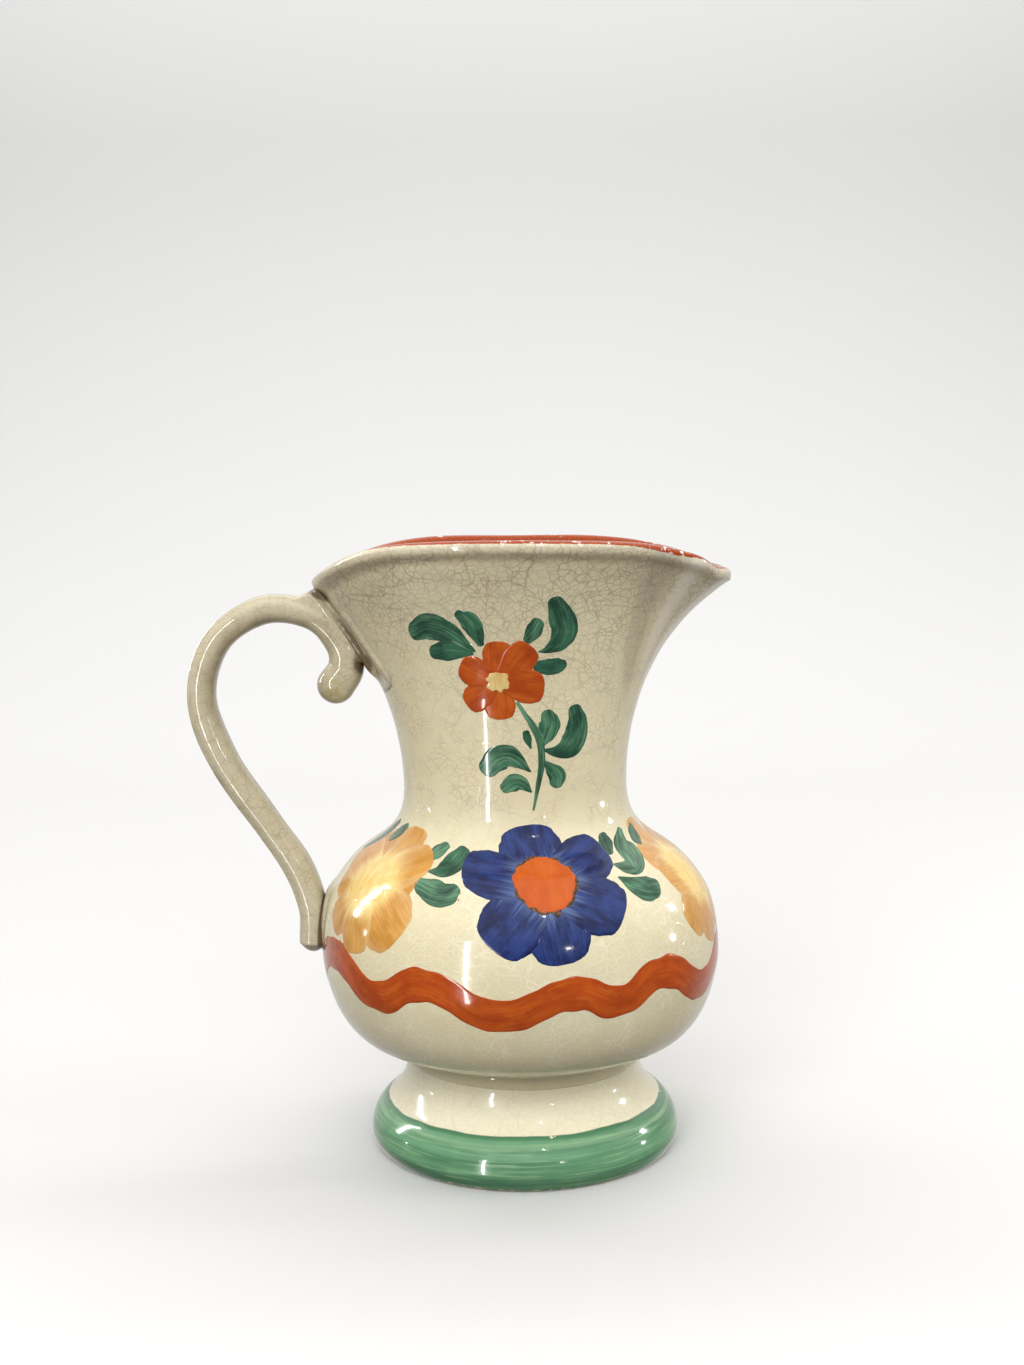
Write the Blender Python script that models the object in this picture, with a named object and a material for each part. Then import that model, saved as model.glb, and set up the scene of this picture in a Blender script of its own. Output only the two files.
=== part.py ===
"""A hand-painted earthenware pitcher: body, foot, strap handle and the slip that lutes them together.

Lengths below are millimetres; the mesh is written in metres. +Z is up, +X is towards the spout and
-Y is the front. Radii are measured from the pitcher's own axis, which stands at AXIS_X and leans
a little towards the handle.
"""

import math

import bpy
import numpy as np

# Overall
MM_PER_METRE = 1000.0
HEIGHT = 200.0
AXIS_X = 20.6
LEAN = -0.0191
WALL = 4.0
GAP = 0.3
SIDES = 60
STEPS_PER_SPAN = 2

# Foot
FOOT_TOP = 29.8
FOOT_BORE = 34.6
STEM_RADIUS = 38.8
FOOT_OUTSIDE = ((46.6, 0.0), (48.9, 0.7), (50.9, 5.0), (49.9, 10.3), (47.0, 14.6), (43.9, 17.0),
                (40.6, 21.2), (38.8, 25.8), (STEM_RADIUS, FOOT_TOP))
FOOT_INSIDE = ((FOOT_BORE, FOOT_TOP), (FOOT_BORE, 25.0), (38.0, 17.5), (43.2, 9.0), (43.4, 0.0))

# Foot joint
SLIP_THICKNESS = 0.9
FOOT_SLIP_RADIUS = 39.2
SLIP_BEAD = 0.25

# Body, from the foot joint to the waist
UNDERSIDE_Z = 33.5
UNDERSIDE_STEP = 1.6
FLOOR_Z = 38.5
FLOOR_CORNER = 2.0
FLOOR_CURVE = ((0.85, 0.6), (0.7, 0.0))
BODY_BASE_Z = FOOT_TOP + GAP + SLIP_THICKNESS + GAP
WAIST_Z = 118.0
WAIST_RADIUS = 36.3
BELLY_OUTSIDE = ((STEM_RADIUS, BODY_BASE_Z), (40.4, 34.2), (48.5, 36.4), (55.6, 40.6), (61.5, 49.5),
                 (65.0, 64.0), (63.6, 80.0), (59.2, 90.0), (52.0, 98.0), (43.2, 104.0), (37.8, 110.5),
                 (WAIST_RADIUS, WAIST_Z))

# Neck and mouth
MOUTH_HALF_DEPTH = 53.0
MOUTH_OVAL = 4.0
SPOUT_REACH = 71.4
SPOUT_SHARPNESS = 12
HANDLE_END_REACH = 62.6
HANDLE_END_SHARPNESS = 8
FLARE_POWER = 2.1
SPOUT_KICK = 0.25
SPOUT_KICK_POWER = 6.0
RIM_DROP = 11.8
RIM_DROP_POWER = 4.2
LIP_HEIGHT = 4.0
NECK_RINGS = 10
LIP_RINGS = 5

# Handle: its centre line in the XZ plane, from the belly up, over and down to the scroll
HANDLE_LINE = ((-69.6, 67.3), (-69.7, 79.0), (-74.3, 92.5), (-84.0, 107.3), (-97.7, 128.0),
               (-104.5, 148.6), (-99.2, 167.0), (-84.0, 177.2), (-68.3, 175.3), (-58.8, 166.5),
               (-57.2, 158.5), (-60.6, 152.6))
STRAP_HALF_THICKNESS = 4.6
STRAP_HALF_WIDTH = 6.6
SCROLL_RADIUS = 6.2
SCROLL_SHARE = 0.13
TOE_ROUNDING = 3.5
TOE_TURNS = (15, 50)
SCROLL_TURNS = (30, 60, 80)
HANDLE_STEPS = 40
HANDLE_STEPS_PER_SPAN = 12
HANDLE_SIDES = 16
STRAP_SQUARENESS = 2.5

# Slip pads between handle and body
UPPER_PAD_TOP = 183.0
UPPER_PAD_BOTTOM = 152.5
UPPER_PAD_HALF_WIDTH = 6.0
LOWER_PAD_TOP = 89.5
LOWER_PAD_BOTTOM = 63.0
LOWER_PAD_HALF_WIDTH = 7.6
PAD_SHARES = (0.1, 0.4, 0.7, 1.0)
PAD_SIDES = 28
PLUG_TOP = HEIGHT + 10.0

# Colours
GLAZED_CREAM = (0.72, 0.66, 0.50, 1.0)
FOOT_GREEN = (0.17, 0.42, 0.24, 1.0)
STRAP_CREAM = (0.66, 0.61, 0.48, 1.0)
SLIP_TAN = (0.52, 0.45, 0.31, 1.0)


def clear_scene():
    for obj in list(bpy.data.objects):
        bpy.data.objects.remove(obj, do_unlink=True)


def material(name, colour, roughness):
    made = bpy.data.materials.new(name)
    made.use_nodes = True
    shader = made.node_tree.nodes["Principled BSDF"]
    shader.inputs["Base Color"].default_value = colour
    shader.inputs["Roughness"].default_value = roughness
    made.diffuse_color = colour
    return made


def smooth_curve(points, per_span):
    """A Catmull-Rom curve through the points."""
    stations = np.array(points, float)
    ends = (2 * stations[0] - stations[1], 2 * stations[-1] - stations[-2])
    padded = np.vstack([ends[0], stations, ends[1]])
    curve = []
    for i in range(len(stations) - 1):
        a, b, c, d = padded[i:i + 4]
        for t in np.arange(per_span) / per_span:
            curve.append(0.5 * (2 * b + (c - a) * t + (2 * a - 5 * b + 4 * c - d) * t ** 2
                                + (3 * b - a - 3 * c + d) * t ** 3))
    curve.append(stations[-1])
    return np.array(curve)


def offset_profile(profile, distance):
    """The profile moved outwards by the distance, along its normals in the (radius, z) plane."""
    along = np.gradient(profile, axis=0)
    along /= np.linalg.norm(along, axis=1, keepdims=True)
    outward = np.column_stack([along[:, 1], -along[:, 0]])
    return profile + distance * outward


def mouth_radius(angle):
    """Plan radius of the mouth: an oval drawn out to a spout at +X and to a blunter point at -X."""
    oval = MOUTH_HALF_DEPTH + MOUTH_OVAL * math.cos(angle) ** 2
    end = MOUTH_HALF_DEPTH + MOUTH_OVAL
    spout = ((1 + math.cos(angle)) / 2) ** SPOUT_SHARPNESS
    heel = ((1 - math.cos(angle)) / 2) ** HANDLE_END_SHARPNESS
    return oval + (SPOUT_REACH - end) * spout + (HANDLE_END_REACH - end) * heel


def rim_height(angle):
    """The rim is a saddle: highest at the front and back, lowest at the spout and the handle."""
    reach = SPOUT_REACH if math.cos(angle) > 0 else HANDLE_END_REACH
    along = abs(mouth_radius(angle) * math.cos(angle)) / reach
    return HEIGHT - RIM_DROP * along ** RIM_DROP_POWER


def neck_profile(angle):
    """Outside of the neck at one angle, from above the waist to the foot of the lip."""
    mouth = mouth_radius(angle)
    lip_foot = rim_height(angle) - LIP_HEIGHT
    kick = SPOUT_KICK * (1 + math.cos(angle)) / 2
    points = []
    for i in range(1, NECK_RINGS + 1):
        h = i / NECK_RINGS
        flare = (1 - kick) * h ** FLARE_POWER + kick * h ** SPOUT_KICK_POWER
        radius = WAIST_RADIUS + (mouth - WAIST_RADIUS) * flare
        points.append((radius, WAIST_Z + h * (lip_foot - WAIST_Z)))
    return points


def lip_profile(angle):
    """The rounded lip, from its outside over the top to its inside."""
    radius = WALL / 2
    centre = mouth_radius(angle) - radius
    centre_z = rim_height(angle) - radius
    turns = [math.pi * i / (LIP_RINGS - 1) for i in range(LIP_RINGS)]
    return [(centre + radius * math.cos(t), centre_z + radius * math.sin(t)) for t in turns]


def outside_profile(angle):
    belly = smooth_curve(BELLY_OUTSIDE, STEPS_PER_SPAN)
    return np.vstack([belly, neck_profile(angle)])


def placed(radius, angle, z):
    x = AXIS_X + LEAN * z + radius * math.cos(angle)
    return (x, radius * math.sin(angle), z)


def turned(profile_at, sides=SIDES):
    """Rings of points, one ring for each profile point."""
    columns = []
    for i in range(sides):
        angle = 2 * math.pi * i / sides
        columns.append([placed(r, angle, z) for r, z in profile_at(angle)])
    return np.array(columns).transpose(1, 0, 2)


def make_object(name, points, faces, finish):
    mesh = bpy.data.meshes.new(name)
    mesh.from_pydata([tuple(p / MM_PER_METRE) for p in np.asarray(points)], [], faces)
    mesh.update()
    mesh.materials.append(finish)
    made = bpy.data.objects.new(name, mesh)
    bpy.context.scene.collection.objects.link(made)
    return made


def side_faces(rings, sides, joined):
    """Quads between neighbouring rings; joined also closes the last ring onto the first."""
    faces = []
    for i in range(rings if joined else rings - 1):
        low = i * sides
        high = ((i + 1) % rings) * sides
        for j in range(sides):
            k = (j + 1) % sides
            faces.append((low + j, low + k, high + k, high + j))
    return faces


def capped_solid(name, rings, finish):
    """Rings lofted into one body, with a fan from a middle point at each end."""
    count, sides = rings.shape[:2]
    faces = side_faces(count, sides, joined=False)
    first_middle = count * sides
    last_middle = first_middle + 1
    last = (count - 1) * sides
    for j in range(sides):
        k = (j + 1) % sides
        faces.append((first_middle, k, j))
        faces.append((last_middle, last + j, last + k))
    points = np.vstack([rings.reshape(-1, 3), rings[0].mean(axis=0), rings[-1].mean(axis=0)])
    return make_object(name, points, faces, finish)


def ring_solid(name, rings, finish):
    """Rings lofted into one body with a hole through it."""
    count, sides = rings.shape[:2]
    return make_object(name, rings.reshape(-1, 3), side_faces(count, sides, joined=True), finish)


def body(finish):
    def profile_at(angle):
        outside = outside_profile(angle)
        inside = offset_profile(outside, -WALL)
        inside = inside[inside[:, 1] > FLOOR_Z + FLOOR_CORNER]
        underside = [(FOOT_BORE - UNDERSIDE_STEP, UNDERSIDE_Z), (FOOT_BORE, BODY_BASE_Z)]
        floor = [(share * inside[0, 0], FLOOR_Z + rise) for share, rise in FLOOR_CURVE]
        return np.vstack([underside, outside, lip_profile(angle), inside[-2::-1], floor])

    return capped_solid("body", turned(profile_at), finish)


def foot(finish):
    outside = smooth_curve(FOOT_OUTSIDE, STEPS_PER_SPAN)
    inside = smooth_curve(FOOT_INSIDE, STEPS_PER_SPAN)
    profile = np.vstack([outside, inside])
    return ring_solid("foot", turned(lambda angle: profile), finish)


def foot_slip(finish):
    bottom = FOOT_TOP + GAP
    top = bottom + SLIP_THICKNESS
    edge = FOOT_SLIP_RADIUS
    profile = [(edge - SLIP_BEAD, bottom), (edge, (bottom + top) / 2), (edge - SLIP_BEAD, top),
               (FOOT_BORE, top), (FOOT_BORE, bottom)]
    return ring_solid("foot_slip", turned(lambda angle: profile), finish)


def strap_size(share):
    """Half thickness and half width of the strap at a share of its length; it swells into the scroll."""
    swell = max(0.0, (share - 1 + SCROLL_SHARE) / SCROLL_SHARE)
    growth = (SCROLL_RADIUS - STRAP_HALF_THICKNESS) * math.sin(swell * math.pi / 2)
    return STRAP_HALF_THICKNESS + growth, STRAP_HALF_WIDTH


def strap_ring(centre, along, thickness, width):
    across = np.array([along[2], 0.0, -along[0]])
    ring = []
    for j in range(HANDLE_SIDES):
        turn = 2 * math.pi * j / HANDLE_SIDES
        power = 2 / STRAP_SQUARENESS
        c = math.copysign(abs(math.cos(turn)) ** power, math.cos(turn))
        s = math.copysign(abs(math.sin(turn)) ** power, math.sin(turn))
        ring.append(centre + thickness * c * across + np.array([0.0, width * s, 0.0]))
    return np.array(ring)


def handle_line():
    """Evenly spaced centres along the strap, with the direction at each."""
    line = smooth_curve(HANDLE_LINE, HANDLE_STEPS_PER_SPAN)
    steps = np.linalg.norm(np.diff(line, axis=0), axis=1)
    travelled = np.concatenate([[0.0], np.cumsum(steps)])
    wanted = np.linspace(0.0, travelled[-1], HANDLE_STEPS)
    x = np.interp(wanted, travelled, line[:, 0]) + AXIS_X
    z = np.interp(wanted, travelled, line[:, 1])
    centres = np.column_stack([x, np.zeros_like(x), z])
    along = np.gradient(centres, axis=0)
    return centres, along / np.linalg.norm(along, axis=1, keepdims=True)


def handle_blank(finish):
    """The whole strap, still running into the body at both joints."""
    centres, along = handle_line()
    rings = []
    for turn in TOE_TURNS:
        thickness, width = strap_size(0.0)
        reach = TOE_ROUNDING * (1 - math.sin(math.radians(turn)))
        narrowing = math.sqrt(math.sin(math.radians(turn)))
        centre = centres[0] - reach * along[0]
        rings.append(strap_ring(centre, along[0], thickness * narrowing, width * narrowing))
    for centre, direction, share in zip(centres, along, np.linspace(0.0, 1.0, HANDLE_STEPS)):
        rings.append(strap_ring(centre, direction, *strap_size(share)))
    for turn in SCROLL_TURNS:
        thickness, width = strap_size(1.0)
        reach = SCROLL_RADIUS * math.sin(math.radians(turn))
        narrowing = math.cos(math.radians(turn))
        centre = centres[-1] + reach * along[-1]
        rings.append(strap_ring(centre, along[-1], thickness * narrowing, width * narrowing))
    return capped_solid("handle", np.array(rings), finish)


def body_plug(distance, finish):
    """A solid plug of the body's outside, moved outwards by the distance. It only cuts."""
    def profile_at(angle):
        profile = outside_profile(angle)
        above_rim = (profile[-1, 0], PLUG_TOP)
        return offset_profile(np.vstack([profile, above_rim]), distance)

    plug = capped_solid("body_plug", turned(profile_at), finish)
    plug.hide_render = True
    plug.display_type = "WIRE"
    return plug


def on_body(angle, z, distance):
    """A point at this angle and height, this far off the body's outside."""
    profile = offset_profile(outside_profile(angle), distance)
    return placed(np.interp(z, profile[:, 1], profile[:, 0]), angle, z)


def slip_pad(name, top_z, bottom_z, half_width, finish):
    """An oval of slip lying on the body behind the handle, its two faces joined round the edge."""
    middle_z = (top_z + bottom_z) / 2
    half_length = (top_z - bottom_z) / 2
    behind_handle = outside_profile(math.pi)
    half_turn = half_width / np.interp(middle_z, behind_handle[:, 1], behind_handle[:, 0])
    near_face = [(GAP, share) for share in PAD_SHARES]
    far_face = [(GAP + SLIP_THICKNESS, share) for share in reversed(PAD_SHARES)]
    rings = []
    for distance, share in near_face + far_face:
        ring = []
        for j in range(PAD_SIDES):
            turn = 2 * math.pi * j / PAD_SIDES
            angle = math.pi + share * half_turn * math.cos(turn)
            ring.append(on_body(angle, middle_z + share * half_length * math.sin(turn), distance))
        rings.append(ring)
    return capped_solid(name, np.array(rings), finish)


def cut_away(target, cutter):
    step = target.modifiers.new("cut", "BOOLEAN")
    step.operation = "DIFFERENCE"
    step.solver = "EXACT"
    step.object = cutter


def handle(strap_finish):
    strap = handle_blank(strap_finish)
    cut_away(strap, body_plug(GAP + SLIP_THICKNESS + GAP, strap_finish))
    return strap


def build():
    clear_scene()
    cream = material("glazed_cream", GLAZED_CREAM, 0.2)
    green = material("glazed_green", FOOT_GREEN, 0.25)
    strap = material("strap_cream", STRAP_CREAM, 0.2)
    slip = material("luting_slip", SLIP_TAN, 0.4)
    body(cream)
    foot(green)
    foot_slip(slip)
    handle(strap)
    slip_pad("handle_upper_slip", UPPER_PAD_TOP, UPPER_PAD_BOTTOM, UPPER_PAD_HALF_WIDTH, slip)
    slip_pad("handle_lower_slip", LOWER_PAD_TOP, LOWER_PAD_BOTTOM, LOWER_PAD_HALF_WIDTH, slip)


build()
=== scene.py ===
"""Looks for the hand-painted pitcher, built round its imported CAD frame.

Lengths are millimetres unless a name says otherwise; meshes are written in metres. +X is towards the
spout, -Y is the painted front. A turn is an angle about the pitcher's own axis, in degrees, 0 at the
spout and -90 at the front. Travel is the distance up the body's outside from the foot joint.
"""

import math

import bpy
import numpy as np
from mathutils import Matrix, Vector
from mathutils.kdtree import KDTree


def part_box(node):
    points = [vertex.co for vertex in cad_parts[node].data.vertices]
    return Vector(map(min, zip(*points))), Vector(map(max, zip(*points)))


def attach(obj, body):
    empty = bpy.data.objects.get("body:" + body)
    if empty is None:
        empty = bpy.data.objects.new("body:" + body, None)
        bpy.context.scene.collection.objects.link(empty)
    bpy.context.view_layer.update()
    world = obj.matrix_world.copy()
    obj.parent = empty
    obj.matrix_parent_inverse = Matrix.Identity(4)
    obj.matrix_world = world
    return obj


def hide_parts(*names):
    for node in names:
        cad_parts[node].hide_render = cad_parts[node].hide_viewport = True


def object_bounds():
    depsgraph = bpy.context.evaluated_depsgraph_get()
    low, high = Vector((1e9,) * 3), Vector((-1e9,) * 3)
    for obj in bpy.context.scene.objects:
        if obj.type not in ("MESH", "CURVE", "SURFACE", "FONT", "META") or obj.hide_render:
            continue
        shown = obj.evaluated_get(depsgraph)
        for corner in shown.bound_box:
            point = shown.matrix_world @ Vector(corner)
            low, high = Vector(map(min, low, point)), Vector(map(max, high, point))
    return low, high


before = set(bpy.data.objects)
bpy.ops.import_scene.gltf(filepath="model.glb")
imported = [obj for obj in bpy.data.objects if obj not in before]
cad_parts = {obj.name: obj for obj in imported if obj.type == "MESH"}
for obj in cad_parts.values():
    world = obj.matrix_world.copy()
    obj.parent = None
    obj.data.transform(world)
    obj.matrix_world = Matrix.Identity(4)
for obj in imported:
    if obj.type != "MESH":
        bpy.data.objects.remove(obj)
cad_bounds = [list(corner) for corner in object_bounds()]

MM_PER_METRE = 1000.0
RNG = np.random.default_rng(11)

# Overall, from the frame
LEAN = -0.0191
FOOT_WIDEST_Z = 5.0
foot_low, foot_high = (corner * MM_PER_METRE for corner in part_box("foot"))
AXIS_X = (foot_low.x + foot_high.x) / 2 - LEAN * FOOT_WIDEST_Z
HEIGHT = cad_bounds[1][2] * MM_PER_METRE
WALL = 4.0

# Body, from the foot joint to the waist
STEM_RADIUS = 38.8
FOOT_BORE = 34.6
BODY_BASE_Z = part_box("body")[0].z * MM_PER_METRE
BELLY_OUTSIDE = ((STEM_RADIUS, BODY_BASE_Z), (40.4, 34.2), (48.5, 36.4), (55.6, 40.6), (61.5, 49.5),
                 (65.0, 64.0), (63.6, 80.0), (59.2, 90.0), (52.0, 98.0), (43.2, 104.0), (37.8, 110.5),
                 (36.3, 118.0))
WAIST_RADIUS, WAIST_Z = BELLY_OUTSIDE[-1]
UNDERSIDE_Z = 33.5
FLOOR_Z = 38.5
FLOOR_CORNER = 2.0

# Neck and mouth
MOUTH_HALF_DEPTH = 53.0
MOUTH_OVAL = 4.0
SPOUT_REACH = 71.4
SPOUT_SHARPNESS = 12
HANDLE_END_REACH = 62.6
HANDLE_END_SHARPNESS = 8
FLARE_POWER = 2.1
SPOUT_KICK = 0.25
SPOUT_KICK_POWER = 6.0
RIM_DROP = 11.8
RIM_DROP_POWER = 4.2
LIP_HEIGHT = 4.0
LIP_ROLL = 0.9

# Foot
FOOT_OUTSIDE = ((46.6, 0.0), (48.9, 0.7), (50.9, 5.0), (49.9, 10.3), (47.0, 14.6), (43.9, 17.0),
                (40.6, 21.2), (38.8, 25.8), (STEM_RADIUS, BODY_BASE_Z))
FOOT_INSIDE = ((FOOT_BORE, BODY_BASE_Z), (FOOT_BORE, 25.0), (38.0, 17.5), (43.2, 9.0), (43.4, 0.0))
GREEN_TOP_Z = 16.2

# Handle: centre line as (distance from the foot's axis, height), from the belly up and over to the scroll
HANDLE_LINE = ((-69.6, 67.3), (-69.7, 79.0), (-74.3, 92.5), (-84.0, 107.3), (-97.7, 128.0),
               (-104.5, 148.6), (-99.2, 167.0), (-84.0, 177.2), (-68.3, 175.3), (-58.8, 166.5),
               (-57.2, 158.5), (-60.6, 152.6))
STRAP_HALF_THICKNESS = 4.6
STRAP_HALF_WIDTH = 6.6
SCROLL_RADIUS = 6.2
SCROLL_SHARE = 0.13
TOE_ROUNDING = 3.5
STRAP_SQUARENESS = 2.5
CROTCH = (-50.6, 160.0)
RIDGE_TURN = 38.0
RIDGE_HEIGHT = 0.45

# Mesh density
COLUMNS = 360
TURNS = np.arange(COLUMNS) * 360.0 / COLUMNS
BELLY_STATIONS = 92
NECK_STATIONS = 68
LIP_STATIONS = 13
SOFTEN_PASSES = 8
HANDLE_RINGS = 260
HANDLE_SIDES = 56

# Enamel
ENAMEL_LIFT = 0.05
ENAMEL_STEP = 0.02
ENAMEL_DEPTH = 0.30
FRONT = -90.0


# ---------------------------------------------------------------- curves and surfaces

def catmull_rom(stations, per_span):
    """A smooth curve through the stations, whatever number of columns they have."""
    stations = np.array(stations, float)
    ends = (2 * stations[0] - stations[1], 2 * stations[-1] - stations[-2])
    padded = np.vstack([ends[0], stations, ends[1]])
    t = (np.arange(per_span) / per_span)[:, None]
    spans = []
    for a, b, c, d in zip(padded, padded[1:], padded[2:], padded[3:]):
        spans.append(0.5 * (2 * b + (c - a) * t + (2 * a - 5 * b + 4 * c - d) * t ** 2
                            + (3 * b - a - 3 * c + d) * t ** 3))
    return np.vstack(spans + [stations[-1:]])


def travelled(points):
    steps = np.linalg.norm(np.diff(points, axis=0), axis=1)
    return np.concatenate([[0.0], np.cumsum(steps)])


def evenly_spaced(points, count):
    along = travelled(points)
    wanted = np.linspace(0.0, along[-1], count)
    return np.column_stack([np.interp(wanted, along, column) for column in points.T])


def smooth_step(value, low, high):
    t = np.clip((value - low) / (high - low), 0.0, 1.0)
    return t * t * (3 - 2 * t)


def bump_at(value, centre, spread):
    return np.exp(-((value - centre) / spread) ** 2 / 2)


def wrapped(turn):
    """Degrees folded into -180 to 180."""
    return (np.asarray(turn, float) + 180.0) % 360.0 - 180.0


def mouth_radius(turn):
    """Plan radius of the mouth: an oval drawn out to a spout at 0 and to a blunter point at 180."""
    cosine = np.cos(np.radians(turn))
    end = MOUTH_HALF_DEPTH + MOUTH_OVAL
    spout = ((1 + cosine) / 2) ** SPOUT_SHARPNESS
    heel = ((1 - cosine) / 2) ** HANDLE_END_SHARPNESS
    oval = MOUTH_HALF_DEPTH + MOUTH_OVAL * cosine ** 2
    return oval + (SPOUT_REACH - end) * spout + (HANDLE_END_REACH - end) * heel


def rim_height(turn):
    """The rim is a saddle: high at front and back, low at the handle and, levelling off, the spout."""
    cosine = np.cos(np.radians(turn))
    reach = np.where(cosine > 0, SPOUT_REACH, HANDLE_END_REACH)
    along = np.abs(mouth_radius(turn) * cosine) / reach
    uneven = 0.12 * np.sin(np.radians(3 * turn + 40)) + 0.08 * np.sin(np.radians(7 * turn))
    drop = RIM_DROP * along ** RIM_DROP_POWER
    levelling = 0.5 * bump_at(along, 0.90, 0.035) - 1.4 * smooth_step(along, 0.92, 1.0)
    return HEIGHT - drop - np.where(cosine > 0, levelling, 0.0) + uneven


def placed(radius, turn, z):
    """World position of a point given by radius, turn and height; the axis leans a little."""
    angle = np.radians(turn)
    x = AXIS_X + LEAN * z + radius * np.cos(angle)
    return np.stack(np.broadcast_arrays(x, radius * np.sin(angle), z), axis=-1)


def hand_made(turn, z):
    """The slight out-of-round of a slip-cast pot, fading out at the foot joint."""
    angle = np.radians(turn)
    wave = (0.20 * np.sin(2 * angle + 0.7 + z / 60) + 0.11 * np.sin(3 * angle - 1.1 + z / 23)
            + 0.05 * np.sin(5 * angle + z / 11) + 0.03 * np.sin(z / 1.9 + 0.8 * np.sin(2 * angle)))
    return wave * smooth_step(z, 40.0, 60.0)


def soften(rings):
    """Evens out the join of belly and neck, and leaves the sharp turn over the foot alone."""
    for _ in range(SOFTEN_PASSES):
        middle = (rings[:, :-2] + 2 * rings[:, 1:-1] + rings[:, 2:]) / 4
        share = smooth_step(rings[:, 1:-1, 1:], 40.0, 52.0)
        rings[:, 1:-1] += share * (middle - rings[:, 1:-1])
    return rings


def outside_rings(turns):
    """Radius and height of the body's outside, one row of stations for each turn."""
    belly = evenly_spaced(catmull_rom(BELLY_OUTSIDE, 16), BELLY_STATIONS)
    belly = np.repeat(belly[None], len(turns), axis=0)
    climb = np.linspace(0.0, 1.0, NECK_STATIONS + 1)[None, 1:]
    mouth = mouth_radius(turns)[:, None]
    lip_foot = rim_height(turns)[:, None] - LIP_HEIGHT
    kick = SPOUT_KICK * (1 + np.cos(np.radians(turns)))[:, None] / 2
    flare = (1 - kick) * climb ** FLARE_POWER + kick * climb ** SPOUT_KICK_POWER
    neck = np.stack([WAIST_RADIUS + (mouth - WAIST_RADIUS) * flare,
                     WAIST_Z + climb * (lip_foot - WAIST_Z)], axis=-1)
    return soften(np.concatenate([belly, neck], axis=1))


def lip_roll(below, turn):
    """How far the lip swells outwards at a depth below the rim, with the hollow under the swelling."""
    heel = ((1 - np.cos(np.radians(turn))) / 2) ** 6
    swell = (LIP_ROLL + 0.9 * heel) * bump_at(below, 1.8 + 0.6 * heel, 1.5 + 0.3 * heel)
    hollow = 0.55 * bump_at(below, 5.6 + 0.8 * heel, 1.2)
    return (swell - hollow) * (1 - 0.6 * ((1 + np.cos(np.radians(turn))) / 2) ** 6)


def offset_inwards(rings, distance):
    along = np.gradient(rings, axis=1)
    along /= np.linalg.norm(along, axis=2, keepdims=True)
    return rings - distance * np.stack([along[..., 1], -along[..., 0]], axis=-1)


def body_rings(turns):
    """The body's skin from mid-underside round to mid-floor, and which part of it is the outside."""
    plain = outside_rings(turns)
    column = turns[:, None]
    outside = plain.copy()
    outside[..., 0] += hand_made(column, outside[..., 1])
    outside[..., 0] += spout_fold(column, outside[..., 1])
    outside[..., 0] += lip_roll(rim_height(column) - outside[..., 1], column)

    radius = WALL / 2
    sweep = np.linspace(0.0, math.pi, LIP_STATIONS)[None]
    lip_r = mouth_radius(column) - radius + radius * np.cos(sweep)
    lip_z = rim_height(column) - radius + radius * np.sin(sweep)
    swell = lip_roll(radius, column) + hand_made(column, lip_z) + spout_fold(column, lip_z)
    lip_r = lip_r + swell * (1 + np.cos(sweep)) / 2
    lip = np.stack([lip_r, lip_z], axis=-1)

    inside = offset_inwards(plain, WALL)[:, ::-1][:, 3::3]
    keep = inside[0, :, 1] > FLOOR_Z + FLOOR_CORNER
    inside = inside[:, keep]
    corner = inside[:, -1:, :]
    floor = [corner * (share, 0) + (0, FLOOR_Z + rise)
             for share, rise in ((0.93, 0.9), (0.8, 0.2), (0.4, 0.0))]
    under = [np.tile([[[r, z]]], (len(turns), 1, 1))
             for r, z in ((12.0, UNDERSIDE_Z), (FOOT_BORE - 1.6, UNDERSIDE_Z), (FOOT_BORE, BODY_BASE_Z))]
    rings = np.concatenate(under + [outside, lip, inside] + floor, axis=1)
    return rings, slice(len(under), len(under) + outside.shape[1])


def spout_fold(turn, z):
    """The crease and ridge each side of the spout where the lip was pulled out with the fingers."""
    side = np.abs(wrapped(turn))
    climb = np.clip((z - 159.0) / 31.0, -0.6, 1.1)
    ridge = 1.0 * bump_at(side, 17.5 + 6.5 * climb, 3.2)
    crease = -0.85 * bump_at(side, 28.0 + 6.0 * climb, 5.5)
    return (ridge + crease) * smooth_step(z, 140.0, 178.0)


def painted_ridge_light_and_crease_shade(turn, z):
    """Painted highlight along the ridge by the spout, above 0, and painted shade in the crease beside it,
    below 0.
    """
    side = np.abs(wrapped(turn))
    climb = np.clip((z - 159.0) / 31.0, -0.8, 1.1)
    tone = bump_at(side, 20.0 + 6.0 * climb, 2.3) - 0.7 * bump_at(side, 29.0 + 6.0 * climb, 4.5)
    return tone * smooth_step(z, 136.0, 166.0)


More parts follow.
